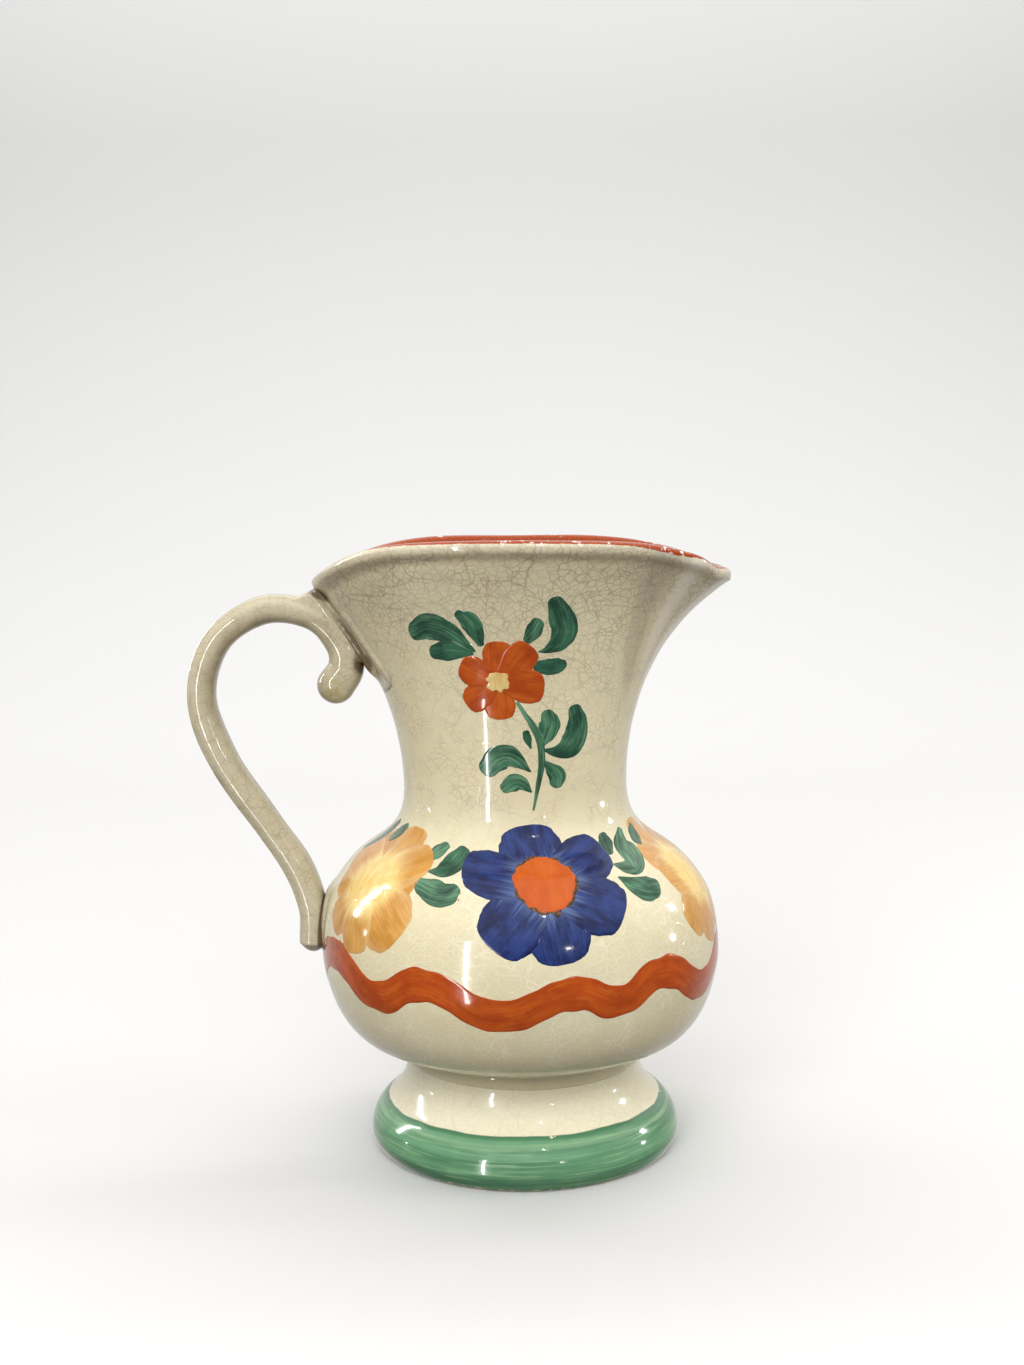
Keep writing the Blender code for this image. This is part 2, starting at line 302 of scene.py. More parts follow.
class Surface:
    """The body's outside, as a table that decoration is laid on."""

    def __init__(self, turns, rings):
        grid = placed(rings[..., 0], turns[:, None], rings[..., 1])
        self.grid = np.concatenate([grid, grid[:1]])
        around = np.roll(grid, -1, axis=0) - np.roll(grid, 1, axis=0)
        normals = np.cross(around, np.gradient(grid, axis=1))
        normals /= np.linalg.norm(normals, axis=2, keepdims=True)
        self.normals = np.concatenate([normals, normals[:1]])
        self.first_turn = turns[0]
        front = rings[int(round(FRONT - turns[0])) % len(turns)]
        self.travel = travelled(front)
        self.radius = front[:, 0]
        self.height = front[:, 1]

    def lay(self, turn, travel, lift):
        """World points at this turn and travel, this far off the surface."""
        column = (np.asarray(turn) - self.first_turn) % 360.0
        row = np.interp(travel, self.travel, np.arange(len(self.travel)))
        i = np.minimum(column.astype(int), 359)
        j = np.minimum(row.astype(int), len(self.travel) - 2)
        a = (column - i)[..., None]
        b = (row - j)[..., None]
        found = []
        for table in (self.grid, self.normals):
            low = table[i, j] * (1 - a) + table[i + 1, j] * a
            high = table[i, j + 1] * (1 - a) + table[i + 1, j + 1] * a
            found.append(low * (1 - b) + high * b)
        return found[0] + found[1] * np.asarray(lift)[..., None]

    def turn_of(self, home_turn, across, travel):
        """The turn of a point this far across from a motif's home."""
        return home_turn + np.degrees(across / np.interp(travel, self.travel, self.radius))

    def travel_at(self, height):
        return np.interp(height, self.height, self.travel)


# ---------------------------------------------------------------- mesh helpers

def make_piece(name, points, faces, material, attributes=None):
    """A smooth-shaded piece from millimetre points, riding on the pitcher's one body."""
    mesh = bpy.data.meshes.new(name)
    mesh.from_pydata((np.asarray(points) / MM_PER_METRE).tolist(), [], faces)
    mesh.validate()
    mesh.shade_smooth()
    mesh.materials.append(material)
    for key, values in (attributes or {}).items():
        layer = mesh.attributes.new(key, "FLOAT", "POINT")
        layer.data.foreach_set("value", np.asarray(values, np.float32).ravel())
    piece = bpy.data.objects.new(name, mesh)
    bpy.context.scene.collection.objects.link(piece)
    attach(piece, "root")
    return piece


def loft_faces(rows, columns, wrap_rows=False, wrap_columns=True):
    """Quads over a grid of rows x columns of points."""
    i = np.arange(rows if wrap_rows else rows - 1)[:, None]
    j = np.arange(columns if wrap_columns else columns - 1)[None]
    i_next = (i + 1) % rows
    j_next = (j + 1) % columns
    corners = (i * columns + j, i * columns + j_next, i_next * columns + j_next, i_next * columns + j)
    return np.stack(corners, axis=-1).reshape(-1, 4)


def fan_faces(ring_start, columns, middle, flip):
    j = np.arange(columns)
    near, far = ring_start + j, ring_start + (j + 1) % columns
    order = (far, near) if flip else (near, far)
    return [[int(middle), int(a), int(b)] for a, b in zip(*order)]


def closed_loft(name, rings, material, attributes=None):
    """Rings (count, columns, 3) lofted into one closed body with a fan at each end."""
    count, columns = rings.shape[:2]
    faces = loft_faces(count, columns).tolist()
    first = count * columns
    faces += fan_faces(0, columns, first, flip=True)
    faces += fan_faces((count - 1) * columns, columns, first + 1, flip=False)
    points = np.vstack([rings.reshape(-1, 3), rings[0].mean(axis=0), rings[-1].mean(axis=0)])
    full = {}
    for key, values in (attributes or {}).items():
        values = np.asarray(values, float)
        full[key] = np.concatenate([values.ravel(), [values[0].mean(), values[-1].mean()]])
    return make_piece(name, points, faces, material, full)


def nearness(points, others, reach):
    """1 where a point touches the other points, falling to 0 at the reach."""
    tree = KDTree(len(others))
    for i, p in enumerate(others):
        tree.insert(p, i)
    tree.balance()
    gaps = np.array([tree.find(p)[2] for p in points])
    return 1 - smooth_step(gaps, 0.0, reach)


# ---------------------------------------------------------------- shader helpers

class Value:
    """A node's output, on which +, - and * make more nodes."""

    def __init__(self, shader, socket):
        self.shader = shader
        self.socket = socket

    def __add__(self, other):
        return self.shader.math("ADD", self, other)

    def __sub__(self, other):
        return self.shader.math("SUBTRACT", self, other)

    def __rsub__(self, other):
        return self.shader.math("SUBTRACT", other, self)

    def __mul__(self, other):
        return self.shader.math("MULTIPLY", self, other)


class Shader:
    """Builds the nodes of one material or world."""

    def __init__(self, name, library="materials"):
        self.owner = getattr(bpy.data, library).new(name)
        self.owner.use_nodes = True
        self.tree = self.owner.node_tree
        self.tree.nodes.clear()
        self.place = self.vector("SCALE", self.take("Object", "ShaderNodeTexCoord"), MM_PER_METRE)

    def node(self, kind, inputs=None, **settings):
        """A new node; its inputs are given by name or number."""
        node = self.tree.nodes.new(kind)
        for key, value in settings.items():
            setattr(node, key, value)
        for key, value in (inputs or {}).items():
            if isinstance(value, Value):
                self.tree.links.new(value.socket, node.inputs[key])
            else:
                node.inputs[key].default_value = value
        return node

    def take(self, output, kind, inputs=None, **settings):
        """One output of a new node."""
        return Value(self, self.node(kind, inputs, **settings).outputs[output])

    def math(self, operation, *values):
        return self.take(0, "ShaderNodeMath", dict(enumerate(values)), operation=operation)

    def most(self, a, b):
        return self.math("MAXIMUM", a, b)

    def vector(self, operation, a, b):
        second = "Scale" if operation == "SCALE" else 1
        return self.take(0, "ShaderNodeVectorMath", {0: a, second: b}, operation=operation)

    def attribute(self, name):
        return self.take("Fac", "ShaderNodeAttribute", attribute_name=name)

    def split(self, vector):
        node = self.node("ShaderNodeSeparateXYZ", {0: vector})
        return [Value(self, part) for part in node.outputs]

    def join(self, *parts):
        return self.take(0, "ShaderNodeCombineXYZ", dict(enumerate(parts)))

    def noise(self, size, detail=2.0, place=None, rough=0.5, output="Fac"):
        """Noise from 0 to 1 whose features are about this many millimetres across."""
        inputs = {"Vector": place or self.place, "Scale": 1 / size, "Detail": detail, "Roughness": rough}
        return self.take(output, "ShaderNodeTexNoise", inputs)

    def warp(self, amount, size):
        """The place, pushed about by this many millimetres."""
        push = self.vector("SUBTRACT", self.noise(size, output="Color"), (0.5, 0.5, 0.5))
        return self.vector("ADD", self.place, self.vector("SCALE", push, 2 * amount))

    def cells(self, size, place, feature="F1"):
        """Distance in millimetres, and the cell's random colour if the feature has one."""
        node = self.node("ShaderNodeTexVoronoi", {"Vector": place, "Scale": 1 / size}, feature=feature)
        return Value(self, node.outputs["Distance"]) * size, Value(self, node.outputs.get("Color"))

    def ramp(self, value, low, high, start=0.0, end=1.0):
        """A smooth step of the value from low to high, giving start to end."""
        inputs = {"Value": value, "From Min": low, "From Max": high, "To Min": start, "To Max": end}
        return self.take("Result", "ShaderNodeMapRange", inputs, interpolation_type="SMOOTHSTEP")

    def mix(self, share, a, b):
        a, b = (tone if isinstance(tone, Value) else (*tone, 1.0) for tone in (a, b))
        return self.take(2, "ShaderNodeMix", {"Factor": share, 6: a, 7: b}, data_type="RGBA")

    def layers(self, colour, *coats):
        """Coats of (tone, share) over the colour, one after another."""
        for tone, share in coats:
            colour = self.mix(share, colour, tone)
        return colour

    def finish(self, colour, roughness, height_mm, coat=0.5):
        """Principled glaze with a bump whose height is in millimetres."""
        bump = self.take("Normal", "ShaderNodeBump",
                         {"Strength": 1.0, "Distance": 1 / MM_PER_METRE, "Height": height_mm})
        glaze = self.take("BSDF", "ShaderNodeBsdfPrincipled", {
            "Base Color": colour, "Roughness": roughness, "Normal": bump, "Coat Weight": coat,
            "Coat Roughness": 0.03, "Specular IOR Level": 0.32, "IOR": 1.5})
        self.node("ShaderNodeOutputMaterial", {"Surface": glaze})
        return self.owner


def crackle(shader, coarse=17.0, middle=6.0, fine=2.8, width=0.23):
    """The network of fine cracks in a glaze, along the borders of three sizes of flattened cell.

    Returns long cracks and short ones; the finest come and go in patches."""
    place = shader.vector("MULTIPLY", shader.warp(0.7, 4.5), (1.0, 1.0, 1.3))
    found = []
    for size, line in ((coarse, width), (middle, width), (fine, 0.85 * width)):
        gap = shader.cells(size, place, "DISTANCE_TO_EDGE")[0]
        found.append(shader.ramp(gap, 0.3 * line, line, 1.0, 0.0))
    patchy = shader.ramp(shader.noise(8.0, 1.0), 0.30, 0.60, 0.75, 1.0)
    return found[0], shader.most(found[1], found[2] * patchy)


def specks(shader, size, rarity, radius, seed):
    """Rare small iron spots: one in a few cells carries a dot."""
    place = shader.vector("ADD", shader.place, (seed, 2.0 * seed, 3.0 * seed))
    distance, colour = shader.cells(size, place)
    chosen = shader.math("GREATER_THAN", shader.split(colour)[0], 1.0 - rarity)
    return chosen * shader.ramp(distance, 0.6 * radius, radius, 1.0, 0.0)


# ---------------------------------------------------------------- glazes

CREAM = (0.73, 0.66, 0.45)
CREAM_WARM = (0.68, 0.58, 0.35)
CREAM_GREY = (0.47, 0.42, 0.31)
# Dark of the cracks, and also of the painted shade under the lip roll.
CRACK_AND_SHADE_DARK = (0.20, 0.155, 0.095)
CRACK_PALE = (0.86, 0.82, 0.66)
# Brown for grime, and for the painted shade where the parts meet.
STAIN_AND_SHADE = (0.12, 0.075, 0.032)
ORANGE_DEEP = (0.36, 0.048, 0.006)
ORANGE = (0.49, 0.080, 0.008)
ORANGE_THIN = (0.60, 0.17, 0.022)
ORANGE_SHADE = (0.25, 0.032, 0.004)
CHIP_PINK = (0.80, 0.63, 0.56)
CHIP_PALE = (0.88, 0.80, 0.72)
# Painted highlight on the spout's ridge, and painted shade in the crease beside it.
RIDGE_PAINTED_HIGHLIGHT = (0.82, 0.76, 0.66)
CREASE_PAINTED_SHADE = (0.33, 0.29, 0.21)
LIP_BUFF = (0.76, 0.68, 0.55)
# Brown for the strap's outer corners, and for the painted shade on its inner side.
BROWN_AND_SHADE = (0.27, 0.22, 0.13)
POOL_BROWN = (0.40, 0.32, 0.14)
SPECK = (0.16, 0.05, 0.02)
GREEN_RUN = (0.40, 0.46, 0.30)
CHAR_BLACK = (0.02, 0.014, 0.012)
CHAR_BROWN = (0.13, 0.06, 0.025)
CHAR_PALE = (0.36, 0.20, 0.08)


def glaze_ripple(shader):
    """Slow undulation of the glaze with a faint orange-peel on top, in millimetres."""
    slow = shader.noise(16.0, 1.0) * 0.16
    fine = shader.noise(1.8, 2.0) * 0.008
    return slow + fine


def cream_base(shader, grey_amount):
    """Cream glaze whose tone drifts over the pot."""
    drift = shader.ramp(shader.noise(38.0, 3.0), 0.35, 0.68)
    cloud = shader.ramp(shader.noise(7.0, 4.0), 0.3, 0.75)
    return shader.layers(CREAM, (CREAM_WARM, drift * 0.5), (CREAM_GREY, cloud * 0.12),
                         (CREAM_GREY, grey_amount))


def body_glaze():
    """Cream glaze, greyer and darker towards the rim, with an orange band inside the mouth."""
    shader = Shader("body_glaze")
    height = shader.split(shader.place)[2]
    rim = shader.attribute("rim")
    near_top = shader.ramp(height, 150.0, 196.0)
    greyness = shader.ramp(shader.noise(24.0, 3.0), 0.3, 0.8, 0.35, 1.0) * near_top

    long_cracks, short_cracks = crackle(shader)
    patch = shader.ramp(shader.noise(9.0), 0.36, 0.62)
    on_neck = shader.ramp(height, 92.0, 120.0)
    browned = near_top * 0.16 + on_neck * patch * 0.20 + on_neck * 0.12
    whitened = shader.ramp(patch, 1.0, 0.0, 0.22, 0.42) * shader.ramp(height, 190.0, 80.0)
    halo = shader.ramp(shader.noise(2.6, 3.0), 0.5, 0.8)
    ridge_highlight_and_crease_shade = shader.attribute("ridge_highlight_and_crease_shade")
    shade_under_lip = shader.ramp(rim, 4.4, 6.0) * shader.ramp(rim, 12.0, 6.5)
    on_lip = shader.ramp(rim, 0.6, 1.6) * shader.ramp(rim, 5.2, 3.6)
    run = shader.ramp(height, 39.5, 36.0) * shader.ramp(height, 33.0, 34.6)
    run = run * shader.ramp(shader.noise(10.0), 0.3, 0.6, 0.25, 1.0)
    spots = shader.most(specks(shader, 17.0, 0.16, 0.75, 3.0), specks(shader, 9.0, 0.10, 0.38, 8.0))
    colour = shader.layers(
        cream_base(shader, greyness * 0.62),
        (CRACK_AND_SHADE_DARK, short_cracks * browned),
        (CRACK_PALE, short_cracks * whitened),
        (CRACK_AND_SHADE_DARK, long_cracks * (near_top * 0.26 + on_neck * 0.10)),
        (CRACK_AND_SHADE_DARK, halo * near_top * 0.22),
        # Painted highlight on the spout's ridge and painted shade in the crease beside it.
        (RIDGE_PAINTED_HIGHLIGHT, shader.ramp(ridge_highlight_and_crease_shade, 0.05, 0.95, 0.0, 0.62)),
        (CREASE_PAINTED_SHADE, shader.ramp(ridge_highlight_and_crease_shade, -0.05, -0.6, 0.0, 0.38)),
        # Painted shade in the hollow under the lip roll.
        (CRACK_AND_SHADE_DARK, shade_under_lip * 0.38),
        (LIP_BUFF, on_lip * 0.30),
        (GREEN_RUN, run * 0.55),
        (SPECK, spots * 0.9),
        # Brown grime and painted shade: darker where the handle meets the body and in the corner under the
        # scroll, and a dark chip under the lip by the spout.
        (STAIN_AND_SHADE, shader.attribute("grime_and_shade") * shader.noise(1.6, 3.0) * 1.3))
    colour, paint = rim_band(shader, colour, rim)
    relief = glaze_ripple(shader) + paint * 0.05 + short_cracks * -0.025
    roughness = shader.ramp(shader.noise(11.0, 3.0), 0.3, 0.7, 0.07, 0.14)
    return shader.finish(colour, roughness, relief)


def rim_band(shader, colour, rim):
    """The orange band inside the mouth, with its ragged outer edge and the worn chips along the lip."""
    wear = shader.attribute("wear")
    ragged = (shader.noise(2.2, 3.0) - 0.5) * 0.9
    edge = shader.attribute("spill") + ragged
    paint = shader.ramp(rim - edge, -0.12, 0.12, 1.0, 0.0) * shader.ramp(rim + ragged * 1.5, -9.6, -9.0)
    streak = shader.noise(1.0, 3.0, shader.join(shader.attribute("turn"), rim * 2.4, 0.0))
    tone = shader.mix(shader.ramp(streak, 0.35, 0.8), ORANGE_SHADE, ORANGE)
    tone = shader.mix(shader.ramp(streak, 0.62, 0.85) * 0.5, tone, ORANGE_THIN)

    flake = shader.ramp(shader.noise(1.7, 4.0, rough=0.62) + wear * 0.34, 0.82, 0.86)
    flake = flake * shader.ramp(rim, -2.2, -1.0) * shader.ramp(rim, 3.6, 2.6)
    fleck = shader.mix(shader.noise(0.8), CHIP_PINK, CHIP_PALE)
    chipped = flake * shader.math("GREATER_THAN", wear, 0.02)
    return shader.layers(colour, (tone, paint), (fleck, chipped)), paint * (1.0 - flake)


def strap_glaze(name, grey=0.65, cracks=0.34):
    """The handle's cream glaze: greyer and crackled, brown along the strap's outer corners, with painted
    shade on the strap's inner side and painted shade, in brown, in its creases and where its parts meet.
    """
    shader = Shader(name)
    long_cracks, short_cracks = crackle(shader, coarse=14.0, middle=8.0, fine=3.6, width=0.20)
    broken = shader.ramp(shader.noise(4.0), 0.3, 0.6, 0.3, 1.0)
    lines = shader.most(long_cracks, short_cracks) * broken
    # Brown along the strap's outer corners, and painted shade on its inner side.
    brown_and_shade_mask = shader.attribute("brown_and_inner_shade") * shader.ramp(shader.noise(8.0, 4.0), 0.20, 0.70)
    pooled = shader.attribute("pool") * shader.ramp(shader.noise(1.6, 3.0), 0.3, 0.7)
    # Brown grime and painted shade, darker where the parts meet and in their corners.
    grime_and_shade_mask = shader.ramp(shader.attribute("grime_and_shade") + shader.noise(1.2, 3.0) * 0.45, 0.45, 1.25)
    colour = shader.layers(
        cream_base(shader, grey),
        (CRACK_AND_SHADE_DARK, lines * cracks),
        (BROWN_AND_SHADE, brown_and_shade_mask * 0.55),
        (POOL_BROWN, pooled),
        (STAIN_AND_SHADE, grime_and_shade_mask * 0.92),
        (SPECK, specks(shader, 8.0, 0.14, 0.35, 5.0) * 0.8))
    roughness = shader.ramp(shader.noise(9.0, 3.0), 0.3, 0.7, 0.07, 0.15)
    return shader.finish(colour, roughness, glaze_ripple(shader))


FOOT_GREEN_DEEP = (0.075, 0.20, 0.105)
FOOT_GREEN = (0.150, 0.345, 0.180)
FOOT_GREEN_THIN = (0.31, 0.51, 0.28)
# Lighter cream for the foot: painted light, standing in for the stronger light on its upturned slope.
FOOT_CREAM_LIT = (0.86, 0.81, 0.63)
BARE_CLAY = (0.72, 0.62, 0.48)
BARE_CLAY_DARK = (0.60, 0.52, 0.37)


def foot_glaze():
    """Cream above, banded green below with the streaks of a turning brush, bare clay where it stands."""
    shader = Shader("foot_glaze")
    x, y, z = shader.split(shader.place)
    flat = shader.join(x * 0.035, y * 0.035, z)
    streak = shader.noise(0.9, 4.0, flat, rough=0.6)
    broad = shader.noise(3.2, 2.0, flat)
    mottle = shader.ramp(shader.noise(5.0, 4.0), 0.35, 0.7)
    edge = z + (shader.noise(14.0) - 0.5) * 0.9 - GREEN_TOP_Z
    glow = shader.ramp(edge, -3.4, -2.6) * shader.ramp(edge, -1.5, -2.1)
    nick = shader.ramp(shader.noise(2.4, 3.0), 0.70, 0.73) * 1.6
    cream_from = shader.ramp(edge + nick, -0.12, 0.12)
    # Painted light: the foot's cream is lighter than the body's.
    cream = shader.mix(0.6, cream_base(shader, 0.0), FOOT_CREAM_LIT)
    lines = shader.most(*crackle(shader, coarse=12.0, middle=7.0, fine=3.6, width=0.18))
    chipped = shader.ramp(shader.noise(3.0, 4.0) + z * -0.20, 0.36, 0.42)
    hollow = shader.attribute("hollow")
    colour = shader.layers(
        FOOT_GREEN_DEEP,
        (FOOT_GREEN, shader.ramp(broad, 0.32, 0.68)),
        (FOOT_GREEN_THIN, shader.ramp(streak, 0.46, 0.70) * 0.62),
        (FOOT_GREEN_DEEP, mottle * 0.22),
        (FOOT_GREEN_DEEP, shader.ramp(edge, -1.3, -0.4) * 0.95),
        (FOOT_GREEN_THIN, glow * 0.35),
        (shader.mix(lines * 0.10, cream, CRACK_AND_SHADE_DARK), cream_from),
        (BARE_CLAY, chipped),
        (shader.mix(shader.noise(4.0, 4.0), BARE_CLAY, BARE_CLAY_DARK), hollow))
    bare = shader.most(chipped, hollow)
    roughness = bare * 0.5 + shader.ramp(streak, 0.3, 0.7, 0.10, 0.19)
    relief = glaze_ripple(shader) + streak * 0.03 + (1.0 - cream_from) * 0.05
    relief = relief + bare * shader.noise(0.5, 3.0) * 0.06
    return shader.finish(colour, roughness, relief, 0.5 - bare * 0.5)


def enamel(name, deep, middle, thin, thin_share=0.5, heart=None, reach=12.0, ray=0.9,
           fade=0.0, fade_to=CREAM):
    """Painted colour: brush streaks along the stroke, pooled dark in places and thin in others.

    A heart colour runs out along the first millimetres of each stroke, and fade softens the edge."""
    shader = Shader(name)
    across, along, tint, edge = (shader.attribute(key) for key in ("across", "along", "tint", "edge"))

    def streaks(detail, wide, long, rough=0.5):
        place = shader.join(across * wide, along * long, tint * 37.0)
        return shader.noise(1.0, detail, place, rough)

    fine = streaks(3.0, 1.5, 0.10, 0.55)
    broad = streaks(2.0, 0.30, 0.09)
    blot = shader.noise(3.4, 5.0, rough=0.65)
    bristle = shader.ramp(fine + tint * 0.22, 0.54, 0.84) * shader.ramp(broad, 0.35, 0.60, 0.35, 1.0)
    colour = shader.layers(deep, (middle, shader.ramp(broad * 0.7 + blot * 0.5, 0.42, 0.78)),
                           (thin, bristle * thin_share))
    if heart:
        run = along + (streaks(2.0, 1.8, 0.04) - 0.5) * (-ray * reach)
        colour = shader.mix(shader.ramp(run, reach, 0.45 * reach), colour, heart)
    if fade:
        colour = shader.mix(shader.ramp(edge + fine * 0.5, 0.75, 1.35) * fade, colour, fade_to)
    else:
        colour = shader.mix(shader.ramp(edge, 0.75, 1.0) * 0.4, colour, deep)
    roughness = shader.ramp(blot, 0.3, 0.7, 0.10, 0.18)
    return shader.finish(colour, roughness, glaze_ripple(shader) + fine * 0.015)


def charred_enamel():
    """The brown-black that shows where thick orange has burnt round the flower's heart."""
    shader = Shader("enamel_burnt")
    grain = shader.noise(0.8, 4.0, rough=0.65)
    colour = shader.layers(CHAR_BLACK, (CHAR_BROWN, shader.ramp(grain, 0.35, 0.6)),
                           (CHAR_PALE, shader.ramp(grain, 0.6, 0.7) * 0.6))
    return shader.finish(colour, shader.ramp(grain, 0.3, 0.7, 0.2, 0.4), grain * 0.06)


# ---------------------------------------------------------------- pottery

LIP_CHIPS = ((-118, 1.5, 0.5), (-104, 2.5, 0.45), (-91.5, 3.0, 1.0), (-81, 7.0, 0.75), (-68, 2.2, 1.0),
             (-58, 1.8, 0.9), (-43, 1.2, 0.9), (-33, 6.0, 0.9), (-22, 5.0, 0.5), (35, 4.0, 0.9),
             (72, 6.0, 0.7), (118, 3.0, 0.8), (150, 4.0, 0.5))


def rim_spill(turn):
    """How far the orange band comes over the lip's crest, by turn."""
    side = np.abs(wrapped(turn))
    at_handle = ((1 - np.cos(np.radians(turn))) / 2) ** 12
    return 2.3 + 1.0 * bump_at(side, 32.0, 13.0) - 1.3 * bump_at(side, 0.0, 9.0) - 4.3 * at_handle


def pitcher_body(handle_points):
    """The body, and the surface that its decoration is laid on."""
    rings, outside = body_rings(TURNS)
    points = placed(rings[..., 0], TURNS[:, None], rings[..., 1]).transpose(1, 0, 2)

    steps = np.linalg.norm(np.diff(rings, axis=1), axis=2)
    along = np.concatenate([np.zeros((COLUMNS, 1)), np.cumsum(steps, axis=1)], axis=1)
    crest = outside.stop + LIP_STATIONS // 2
    rim = (along[:, crest:crest + 1] - along).T
    turn = np.broadcast_to(TURNS, rim.shape)
    wear = np.zeros_like(rim)
    for centre, spread, amount in LIP_CHIPS:
        wear = np.maximum(wear, amount * bump_at(wrapped(turn - centre), 0.0, spread))
    spill = rim_spill(turn)

    # Painted shade, in brown, where the body meets the handle and in the corner under the scroll; and a dark
    # chip under the lip by the spout.
    grime_and_shade = np.zeros(rim.shape)
    close = (np.abs(wrapped(turn - 180.0)) < 30) & (rim > 4.0) & (rim < 190.0)
    grime_and_shade[close] = np.maximum(1.3 * nearness(points[close], handle_points, 3.0), crotch_shade(points[close]))
    grime_and_shade = np.maximum(grime_and_shade, 2.0 * bump_at(wrapped(turn + 5.0), 0.0, 2.4) * bump_at(rim, 4.6, 0.7))
    # The spout's ridge and crease carry a painted highlight and a painted shade.
    attributes = {"rim": rim, "turn": turn * 0.9, "wear": wear, "spill": spill, "grime_and_shade": grime_and_shade,
                  "ridge_highlight_and_crease_shade": painted_ridge_light_and_crease_shade(turn, points[..., 2]) * (rim > 1.0)}
    piece = closed_loft("pitcher_body", points, body_glaze(), attributes)
    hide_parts("body")
    return Surface(TURNS, rings[:, outside])


def pitcher_foot():
    outside = evenly_spaced(catmull_rom(FOOT_OUTSIDE, 12), 60)
    inside = evenly_spaced(catmull_rom(FOOT_INSIDE, 12), 28)
    profile = np.vstack([outside, inside])
    radius, z = (np.repeat(column[:, None], COLUMNS, axis=1) for column in profile.T)
    swell = smooth_step(z, 0.5, 4.0) * smooth_step(z, 31.0, 24.0)
    uneven = 0.15 * np.sin(np.radians(2 * TURNS + 20)) + 0.05 * np.sin(np.radians(5 * TURNS))
    points = placed(radius + swell * uneven, TURNS, z)
    hollow = np.repeat(np.arange(len(profile)) >= len(outside), COLUMNS)
    faces = loft_faces(len(profile), COLUMNS, wrap_rows=True).tolist()
    piece = make_piece("pitcher_foot", points.reshape(-1, 3), faces, foot_glaze(),
                       {"hollow": hollow.astype(float)})
    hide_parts("foot")


def foot_joint():
    """The ring of slip that closes the seam between foot and body, nearly flush under the glaze."""
    profile = np.array([(FOOT_BORE - 0.2, 29.2), (38.6, 28.6), (38.88, 29.5), (39.0, 30.6), (39.02, 31.6),
                        (39.15, 32.4), (39.0, 33.2), (FOOT_BORE - 0.2, 32.6)])
    points = placed(profile[:, :1], TURNS, profile[:, 1:])
    zeros = np.zeros(points.shape[:2])
    faces = loft_faces(len(profile), COLUMNS, wrap_rows=True).tolist()
    piece = make_piece("foot_joint", points.reshape(-1, 3), faces, strap_glaze("joint_glaze", 0.08, 0.08),
                       {"grime_and_shade": zeros, "brown_and_inner_shade": zeros, "pool": zeros})
    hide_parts("foot_slip")


# ---------------------------------------------------------------- handle

def handle_line():
    """Evenly spaced centres along the strap and the directions there."""
    line = evenly_spaced(catmull_rom(HANDLE_LINE, 24), HANDLE_RINGS)
    centres = np.column_stack([line[:, 0] + AXIS_X, np.zeros(len(line)), line[:, 1]])
    along = np.gradient(centres, axis=0)
    return centres, along / np.linalg.norm(along, axis=1, keepdims=True)


def strap_ring(centre, along, thickness, width, share):
    """One section of the strap: a rounded rectangle with a soft ridge down each outer corner."""
    across = np.array([along[2], 0.0, -along[0]])
    turn = 2 * np.pi * np.arange(HANDLE_SIDES) / HANDLE_SIDES
    power = 2 / STRAP_SQUARENESS
    c = np.copysign(np.abs(np.cos(turn)) ** power, np.cos(turn))
    s = np.copysign(np.abs(np.sin(turn)) ** power, np.sin(turn))
    ridge = RIDGE_HEIGHT * bump_at(np.degrees(np.abs(turn - np.pi)), RIDGE_TURN, 5.0)
    ridge = ridge * smooth_step(share, 0.02, 0.10) * smooth_step(share, 0.95, 0.80)
    grow = 1 + ridge / STRAP_HALF_THICKNESS
    ring = centre + (thickness * c * grow)[:, None] * across
    ring[:, 1] += width * s * grow
    return ring


def handle_rings():
    """Every section of the strap, from its round toe to the scroll's end, and its share of the way."""
    centres, along = handle_line()
    sections = []
    for turn in np.radians((8, 18, 32, 50, 70)):
        narrowing = math.sqrt(math.sin(turn))
        centre = centres[0] - TOE_ROUNDING * (1 - math.sin(turn)) * along[0]
        sections.append((centre, along[0], STRAP_HALF_THICKNESS * narrowing,
                         STRAP_HALF_WIDTH * narrowing, 0.0))
    for centre, direction, share in zip(centres, along, np.linspace(0.0, 1.0, len(centres))):
        swell = math.sin(max(0.0, (share - 1 + SCROLL_SHARE) / SCROLL_SHARE) * math.pi / 2)
        drift = 0.10 * math.sin(share * 19.0) + 0.07 * math.sin(share * 43.0 + 1.0)
        thickness = STRAP_HALF_THICKNESS + (SCROLL_RADIUS - STRAP_HALF_THICKNESS) * swell
        sections.append((centre, direction, thickness + drift, STRAP_HALF_WIDTH + drift, share))
    for turn in np.radians((12, 26, 40, 54, 66, 76, 84, 88.5)):
        narrowing = math.cos(turn)
        centre = centres[-1] + SCROLL_RADIUS * math.sin(turn) * along[-1]
        sections.append((centre, along[-1], SCROLL_RADIUS * narrowing, STRAP_HALF_WIDTH * narrowing, 1.0))
    rings = np.array([strap_ring(*section) for section in sections])
    return rings, np.array([section[-1] for section in sections])


def crotch_shade(points):
    """Painted shade, in brown, deep in the narrow corner between scroll and neck, falling off with distance.
    """
    away = np.hypot(points[..., 0] - AXIS_X - CROTCH[0], points[..., 2] - CROTCH[1])
    return 2.3 * bump_at(away, 0.0, 2.6) * bump_at(points[..., 1], 0.0, 8.5)


def on_outside(points):
    """Distance of each point outside the body's skin behind the handle, in plan."""
    profile = outside_rings(np.array([180.0]))[0]
    x = points[..., 0] - AXIS_X - LEAN * points[..., 2]
    plan = np.hypot(x, points[..., 1])
    return plan - np.interp(points[..., 2], profile[:, 1], profile[:, 0])


